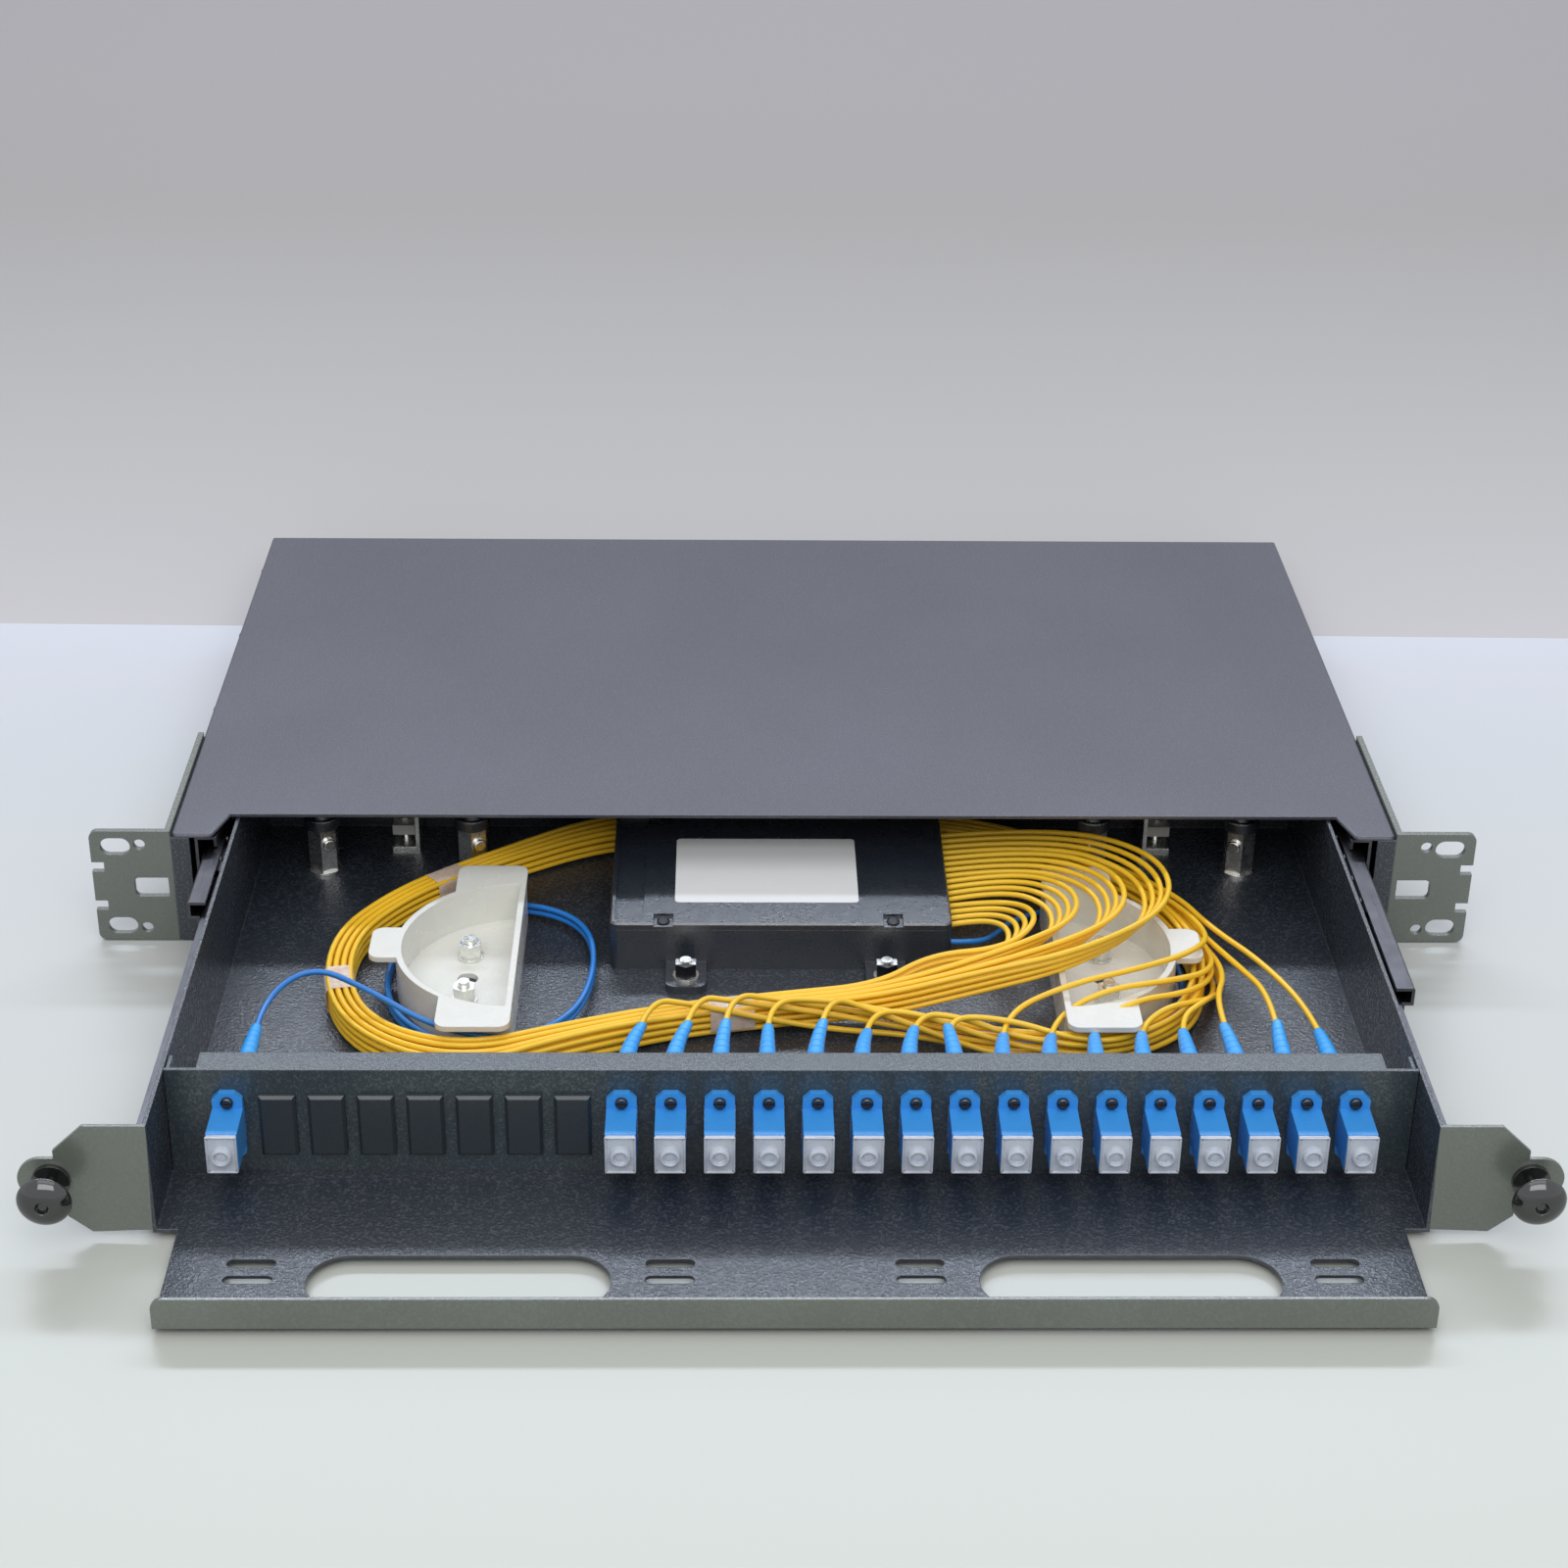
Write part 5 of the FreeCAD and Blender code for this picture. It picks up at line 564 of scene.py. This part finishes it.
def output_route(index):
    """Every point of one output, from the splitter to the tip of its boot."""
    lane, row = divmod(index, ROWS)
    port, kept, turn_y, own = TAILS[index]
    points = turn_down(index, lane, row)
    for place, (x, y) in enumerate(beside(LOOP, LANE * lane)[:kept]):
        points.append(on_the_loop(index, lane, row, place, x, y))
    points += [MOVED.get((index, place), point) for place, point in enumerate(own)]
    across, (aside, up) = USED_PORTS[port], BENT[port]
    run = (Vector((across, turn_y, PORT_HEIGHT)) - Vector(own[-1])).length
    end = round(max(turn_y - run, FIBRE_END), 1)
    points.append((across + 1.5 * aside, turn_y, PORT_HEIGHT + 1.5 * up))
    share = ((end - BEND_START) / BEND_LENGTH) ** 2
    points.append((across + aside * share, end, PORT_HEIGHT + up * share))
    return [tuple(round(value, 1) for value in point) for point in points]


# mm: how long each fibre is
OUTPUT_LENGTHS = (927, 919, 913, 906, 920, 912, 903, 894, 858, 878, 900, 918, 902, 904, 913, 925)
INPUT_ROUTE = (
    (55.4, -20.5, 12.5), (67, -20.5, 12), (74, -9, 8.5), (81, 6.5, 5), (97, 15.5, 4.7),
    (125, 4, 4.7), (138.5, -24, 4.7), (132, -58, 4.7), (108, -80, 4.7), (84, -76.5, 4.7),
    (60, -62, 4.7), (30, -50.5, 4.7), (-8, -46, 4.7), (-42, -53, 4.7), (-66, -68, 4.7),
    (-90, -80, 4.7), (-116, -76.5, 4.7), (-135.5, -54, 4.7), (-136.5, -17, 5.2), (-113, 9.5, 5.8),
    (-88, 11, 6.4), (-69, -4, 7), (-65, -33, 7.2), (-71, -64, 7.2), (-91, -80.5, 7.2),
    (-116, -76.5, 7.2), (-135.5, -54, 7.2), (-136.5, -17, 7.7), (-113, 9.5, 8.3), (-88, 11, 8.9),
    (-69, -4, 9.5), (-65, -33, 9.8), (-71, -64, 9.8), (-91, -80.5, 10.2), (-117, -76.5, 13.5),
    (-139, -66, 21.5), (-158, -57.5, 25.5), (-172.5, -70, 20.5), (-172.4, -89.6, 20.2),
)

for index, length in enumerate(OUTPUT_LENGTHS):
    route = output_route(index)
    fibre(f"output_fibre_{index + 1:02d}", route, "fibre_yellow", "output_fibres")
fibre("input_fibre_line", INPUT_ROUTE, "fibre_blue", "input_fibre")


# --- modelled pieces -------------------------------------------------------------------------


def added(name):
    """Names the primitive just added, applies its place, and goes on in edit mode."""
    bpy.ops.object.transform_apply(location=True, rotation=True, scale=True)
    bpy.context.object.name = name
    bpy.ops.object.mode_set(mode="EDIT")
    bpy.ops.mesh.select_all(action="SELECT")
    return bpy.context.object


def modelled():
    """Closes the ends, turns all faces outwards and leaves edit mode with soft shading."""
    bpy.ops.mesh.select_all(action="DESELECT")
    bpy.ops.mesh.select_mode(type="EDGE")
    bpy.ops.mesh.select_non_manifold()
    bpy.ops.mesh.fill_holes(sides=0)
    bpy.ops.mesh.select_all(action="SELECT")
    bpy.ops.mesh.normals_make_consistent(inside=False)
    bpy.ops.object.mode_set(mode="OBJECT")
    bpy.ops.object.shade_smooth_by_angle(angle=math.radians(35))


def turned(name, rings, steps=24):
    """A turned piece along Y: a circle drawn out from ring to ring, each (radius, y) in mm."""
    bpy.ops.object.select_all(action="DESELECT")
    radius, last = rings[0]
    upright = (math.pi / 2, 0, 0)
    bpy.ops.mesh.primitive_circle_add(
        vertices=steps, radius=radius * MM, location=(0, last * MM, 0), rotation=upright)
    piece = added(name)
    for next_radius, y in rings[1:]:
        bpy.ops.mesh.extrude_region_move(TRANSFORM_OT_translate={"value": (0, (y - last) * MM, 0)})
        share = next_radius / radius
        bpy.ops.transform.resize(value=(share, 1, share), center_override=(0, y * MM, 0))
        radius, last = next_radius, y
    modelled()
    return piece


def slab(name, size, place, edge):
    """A flat block with its edges rounded."""
    bpy.ops.object.select_all(action="DESELECT")
    bpy.ops.mesh.primitive_cube_add(size=1, location=(0, 0, 0))
    piece = added(name)
    bpy.ops.transform.resize(value=[c * MM for c in size], center_override=(0, 0, 0))
    bpy.ops.transform.translate(value=[c * MM for c in place])
    bpy.ops.mesh.bevel(offset=edge * MM, segments=3, affect="EDGES")
    modelled()
    return piece


def pick(piece, belongs):
    """Selects the faces that pass a test of their middle and direction, in edit mode."""
    bpy.context.view_layer.objects.active = piece
    bpy.context.tool_settings.mesh_select_mode = (False, False, True)
    for parts in (piece.data.vertices, piece.data.edges, piece.data.polygons):
        parts.foreach_set("select", [False] * len(parts))
    for face in piece.data.polygons:
        face.select = belongs(face.center / MM, face.normal)
    bpy.ops.object.mode_set(mode="EDIT")


def joined(pieces):
    """Makes one piece of several."""
    bpy.ops.object.select_all(action="DESELECT")
    for piece in pieces:
        piece.select_set(True)
    bpy.context.view_layer.objects.active = pieces[0]
    bpy.ops.object.join()
    return pieces[0]


def placed(piece, name, look, node, body, move):
    """A copy of a piece with its own mesh, each of its points put where move says."""
    copy = bpy.data.objects.new(name, piece.data.copy())
    bpy.context.scene.collection.objects.link(copy)
    for vertex in copy.data.vertices:
        x, y, z = move(*(vertex.co / MM))
        vertex.co = (x * MM, y * MM, (z + LIFT) * MM)
    copy.data.materials.clear()
    copy.data.materials.append(LOOKS[look].material)
    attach(copy, body)
    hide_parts(node)
    return copy


def forget(piece):
    bpy.data.objects.remove(piece)


BANDS, FIRST_BAND, LAST_BAND = 6, -110.7, -88.9  # how many bands a boot has, and along which Y
BAND_SHARE = 0.84  # of the pitch, the rest of it is the groove
BAND_RADII = (3.12, 3.02)  # of the first band, where it begins and where it ends
TAPER, GROOVE_DEPTH = 0.20, 0.34  # from band to band, and below the end of a band
COLLAR = ((1.6, -112.5), (1.6, BEND_START), (3.2, BEND_START), (3.25, -111.4), (2.85, -111.0))
TIP = ((1.72, -88.6), (1.74, -87.3), (1.6, -87.0), (1.12, -87.0), (1.06, -89.0), (1.04, -92.0))


def boot_rings():
    """A boot from the plug to its tip: bands that taper, with a groove after each."""
    rings = list(COLLAR)
    pitch = (LAST_BAND - FIRST_BAND) / BANDS
    for band in range(BANDS):
        near, far = FIRST_BAND + band * pitch, FIRST_BAND + (band + BAND_SHARE) * pitch
        wide, narrow = (radius - TAPER * band for radius in BAND_RADII)
        groove = narrow - GROOVE_DEPTH
        rings += [(groove, near - 0.25), (wide, near), (narrow, far), (groove, far + 0.2)]
    return rings + list(TIP)


boot = turned("boot", boot_rings())
for index, (across, (aside, up)) in enumerate(zip(USED_PORTS, BENT), start=1):
    def bend(x, y, z, across=across, aside=aside, up=up):
        share = max(0.0, (y - BEND_START) / BEND_LENGTH) ** 2
        return x + across + aside * share, y, z + PORT_HEIGHT + up * share
    placed(boot, f"boot_{index:02d}", "plug_blue", "connector_boots", "drawer", bend)
forget(boot)


def dust_cap():
    """A rim of two thin plates, sunk in front, with a round boss and a stem behind."""
    front = slab("cap", (9.5, 1.1, 13.0), (0, -159.55, 0), 0.3)
    pick(front, lambda middle, direction: direction.y < -0.9 and middle.y < -160.0)
    bpy.ops.mesh.inset(thickness=0.9 * MM)
    bpy.ops.transform.translate(value=(0, 0.75 * MM, 0))
    bpy.ops.mesh.inset(thickness=0.35 * MM)
    bpy.ops.transform.translate(value=(0, -0.25 * MM, 0))
    modelled()
    back = slab("cap_back", (9.1, 0.75, 12.6), (0, -158.4, 0), 0.25)
    stem = slab("cap_stem", (7.2, 5.6, 10.6), (0, -155.3, 0), 0.5)
    boss = turned("cap_boss", [
        (3.2, -158.8), (3.2, -161.2), (3.0, -161.7), (2.5, -162.0), (2.1, -161.8), (1.9, -161.0),
        (1.7, -160.6), (1.0, -160.9), (0.4, -161.0),
    ])
    return joined([front, back, stem, boss])


cap = dust_cap()
for index, across in enumerate(USED_PORTS, start=1):
    def in_port(x, y, z, across=across):
        return x + across, y, z + PORT_HEIGHT
    placed(cap, f"dust_cap_{index:02d}", "cap_clear", "dust_caps", "drawer", in_port)
forget(cap)


LATCH = (220.8, 21.7)  # axis from the middle and above the chassis floor
knob = turned("knob", [
    (0.6, -185.6), (1.3, -185.7), (1.75, -186.3), (1.95, -187.0), (2.3, -187.25), (3.4, -187.1),
    (4.8, -186.6), (6.1, -185.9), (7.2, -185.0), (7.9, -184.1), (8.2, -183.4), (8.15, -183.0),
    (7.8, -182.75), (7.2, -182.65), (5.2, -182.6), (4.6, -182.2), (3.4, -182.1), (3.1, -181.8),
    (3.6, -181.5), (3.6, -180.9), (3.0, -180.6), (2.4, -180.4), (1.6, -180.35), (1.6, -168.8),
], 40)
for side, name in ((-1, "left"), (1, "right")):
    def at_latch(x, y, z, side=side):
        return x + side * LATCH[0], y, z + LATCH[1]
    plunger, body = f"latch_plunger_{name}", f"latch_{name}"
    placed(knob, f"latch_knob_{name}", "latch_black", plunger, body, at_latch)
forget(knob)


def as_made(x, y, z):
    return x, y, z


STICKER, STICKER_PLACE = (64.0, 45.0, 0.18), (-6.5, 12.5, 21.72)


def label():
    """A bare sticker with round corners on the splitter's lid."""
    bpy.ops.object.select_all(action="DESELECT")
    bpy.ops.mesh.primitive_plane_add(size=1, location=(0, 0, 0))
    piece = added("sticker")
    wide, deep, thick = (measure * MM for measure in STICKER)
    bpy.ops.transform.resize(value=(wide, deep, 1), center_override=(0, 0, 0))
    bpy.ops.transform.translate(value=[measure * MM for measure in STICKER_PLACE])
    bpy.ops.mesh.bevel(offset=1.6 * MM, segments=5, affect="VERTICES")
    bpy.ops.mesh.select_all(action="SELECT")
    bpy.ops.mesh.extrude_region_move(TRANSFORM_OT_translate={"value": (0, 0, thick)})
    modelled()
    return piece


sticker = label()
placed(sticker, "label_sticker", "label_white", "splitter_label", "drawer", as_made)
forget(sticker)


CREASES = (0.985, 1.02, 0.99, 1.015, 0.98, 1.01)  # how much the film narrows or widens at each


def wrap(middle, heading, size, length):
    """A sleeve of film round the bundle, pinched a little where it is creased."""
    bpy.ops.object.select_all(action="DESELECT")
    bpy.ops.mesh.primitive_plane_add(size=1, location=(0, 0, 0), rotation=(0, math.pi / 2, 0))
    piece = added("wrap")
    bpy.ops.transform.resize(value=(1, size[0] * MM, size[1] * MM), center_override=(0, 0, 0))
    bpy.ops.mesh.bevel(offset=2.6 * MM, segments=6, affect="VERTICES")
    bpy.ops.mesh.select_all(action="SELECT")
    bpy.ops.mesh.delete(type="ONLY_FACE")
    bpy.ops.mesh.select_all(action="SELECT")
    bpy.ops.transform.translate(value=(-length / 2 * MM, 0, 0))
    for step, pinch in enumerate(CREASES, start=1):
        bpy.ops.mesh.extrude_region_move(
            TRANSFORM_OT_translate={"value": (length / len(CREASES) * MM, 0, 0)})
        along = (step / len(CREASES) - 0.5) * length * MM
        bpy.ops.transform.resize(value=(1, pinch, pinch), center_override=(along, 0, 0))
    bpy.ops.mesh.select_all(action="SELECT")
    bpy.ops.mesh.normals_make_consistent(inside=False)
    bpy.ops.object.mode_set(mode="OBJECT")
    thick = piece.modifiers.new("film", "SOLIDIFY")
    thick.thickness = 0.15 * MM
    bpy.ops.object.modifier_apply(modifier=thick.name)
    bpy.ops.object.shade_smooth_by_angle(angle=math.radians(50))
    turn = math.radians(heading)

    def along_the_bundle(x, y, z):
        return (middle[0] + x * math.cos(turn) - y * math.sin(turn),
                middle[1] + x * math.sin(turn) + y * math.cos(turn), middle[2] + z)
    return piece, along_the_bundle


WRAPS = (  # middle, heading in degrees, width and height, length
    ((-19.2, -62.1, 9.3), 10.2, (10.0, 10.1), 15.0),
    ((-150.9, -46.3, 8.9), 99.9, (10.6, 10.2), 14.0),
    ((-120.9, 24.3, 8.8), 39.0, (10.0, 10.1), 13.0),
)
for index, settings in enumerate(WRAPS, start=1):
    sleeve, along_the_bundle = wrap(*settings)
    placed(sleeve, f"tape_wrap_{index}", "tape_film", "tape_wraps", "drawer", along_the_bundle)
    forget(sleeve)


# --- floor, wall and light -------------------------------------------------------------------


def plane(name, corners, look):
    mesh = bpy.data.meshes.new(name)
    mesh.from_pydata(corners, [], [tuple(range(len(corners)))])
    mesh.materials.append(look.material)
    thing = bpy.data.objects.new(name, mesh)
    bpy.context.scene.collection.objects.link(thing)


def backdrop(name, axis, low, high, stops, roughness):
    """A pale surface whose colour changes gently along one axis."""
    look = Finish(name, Roughness=roughness)
    place = look.node("ShaderNodeNewGeometry")["Position"]
    split = look.node("ShaderNodeSeparateXYZ", (("Vector", place),))
    ramp = look.tree.nodes.new("ShaderNodeValToRGB")
    while len(ramp.color_ramp.elements) < len(stops):
        ramp.color_ramp.elements.new(0.5)
    for element, (position, colour) in zip(ramp.color_ramp.elements, stops):
        element.position = position
        element.color = (*colour, 1.0)
    look.link(look.between(split[axis], 0.0, 1.0, low, high), ramp.inputs["Fac"])
    look.feed("Base Color", ramp.outputs["Color"])
    return look


def seen_from_the_front(look):
    """The wall stands close behind the object: its back is clear, so the rear stays in view."""
    clear = look.node("ShaderNodeBsdfTransparent")["BSDF"]
    behind = look.node("ShaderNodeNewGeometry")["Backfacing"]
    links = ((0, behind), (1, look.shader.outputs["BSDF"]), (2, clear))
    mixed = look.node("ShaderNodeMixShader", links)["Shader"]
    look.link(mixed, look.output.inputs["Surface"])


BASE = LIFT * MM - 0.0002  # the floor is a hair below the object
WALL_TOP = BASE + 0.23
# painted light: the floor is painted paler and bluer towards the back, as the bluish lamp behind
# lights it
floor_look = backdrop("pale_floor", "Y", -0.40, 0.26, (
    (0.0, (0.55, 0.57, 0.50)), (0.4, (0.56, 0.58, 0.54)), (0.75, (0.60, 0.62, 0.62)),
    (1.0, (0.64, 0.65, 0.70)),
), 0.34)
plane("floor", [(-3, -3, BASE), (3, -3, BASE), (3, 3, BASE), (-3, 3, BASE)], floor_look)
wall_look = backdrop("pale_wall", "Z", BASE, WALL_TOP, (
    (0.0, (0.60, 0.59, 0.60)), (0.25, (0.51, 0.51, 0.51)), (0.6, (0.40, 0.39, 0.39)),
    (1.0, (0.39, 0.37, 0.39)),
), 0.6)
seen_from_the_front(wall_look)
wall_corners = [(-2, 0.285, BASE), (2, 0.231, BASE), (2, 0.50, WALL_TOP), (-2, 0.55, WALL_TOP)]
plane("wall", wall_corners, wall_look)


def area(name, place, size, power, colour=(1, 1, 1)):
    """A soft rectangular lamp that shines at the object."""
    data = bpy.data.lights.new(name, "AREA")
    data.shape = "RECTANGLE"
    data.size, data.size_y = size
    data.energy = power
    data.color = colour
    lamp = bpy.data.objects.new(name, data)
    bpy.context.scene.collection.objects.link(lamp)
    lamp.location = place
    lamp.rotation_euler = (-Vector(place)).to_track_quat("-Z", "Y").to_euler()


area("behind", (0.0, 1.33, 1.37), (2.4, 0.14), 19, (0.76, 0.85, 1.0))
area("overhead", (0.0, -0.2, 1.8), (2.0, 1.2), 8.5)
area("front", (0.0, -1.5, 1.5), (2.0, 1.0), 20)

world = bpy.data.worlds.new("studio")
bpy.context.scene.world = world
world.use_nodes = True
nodes, links = world.node_tree.nodes, world.node_tree.links
background = nodes["Background"]
background.inputs["Color"].default_value = (0.93, 0.94, 1.0, 1.0)
path = nodes.new("ShaderNodeLightPath")
shown = path.outputs["Is Camera Ray"]
for ray in ("Is Glossy Ray", "Is Transmission Ray"):
    either = nodes.new("ShaderNodeMath")
    either.operation = "MAXIMUM"
    links.new(shown, either.inputs[0])
    links.new(path.outputs[ray], either.inputs[1])
    shown = either.outputs["Value"]
strength = nodes.new("ShaderNodeMapRange")
strength.inputs["To Min"].default_value = 0.40
strength.inputs["To Max"].default_value = 1.0
links.new(shown, strength.inputs["Value"])
links.new(strength.outputs["Result"], background.inputs["Strength"])

bpy.context.scene.view_settings.view_transform = "Standard"
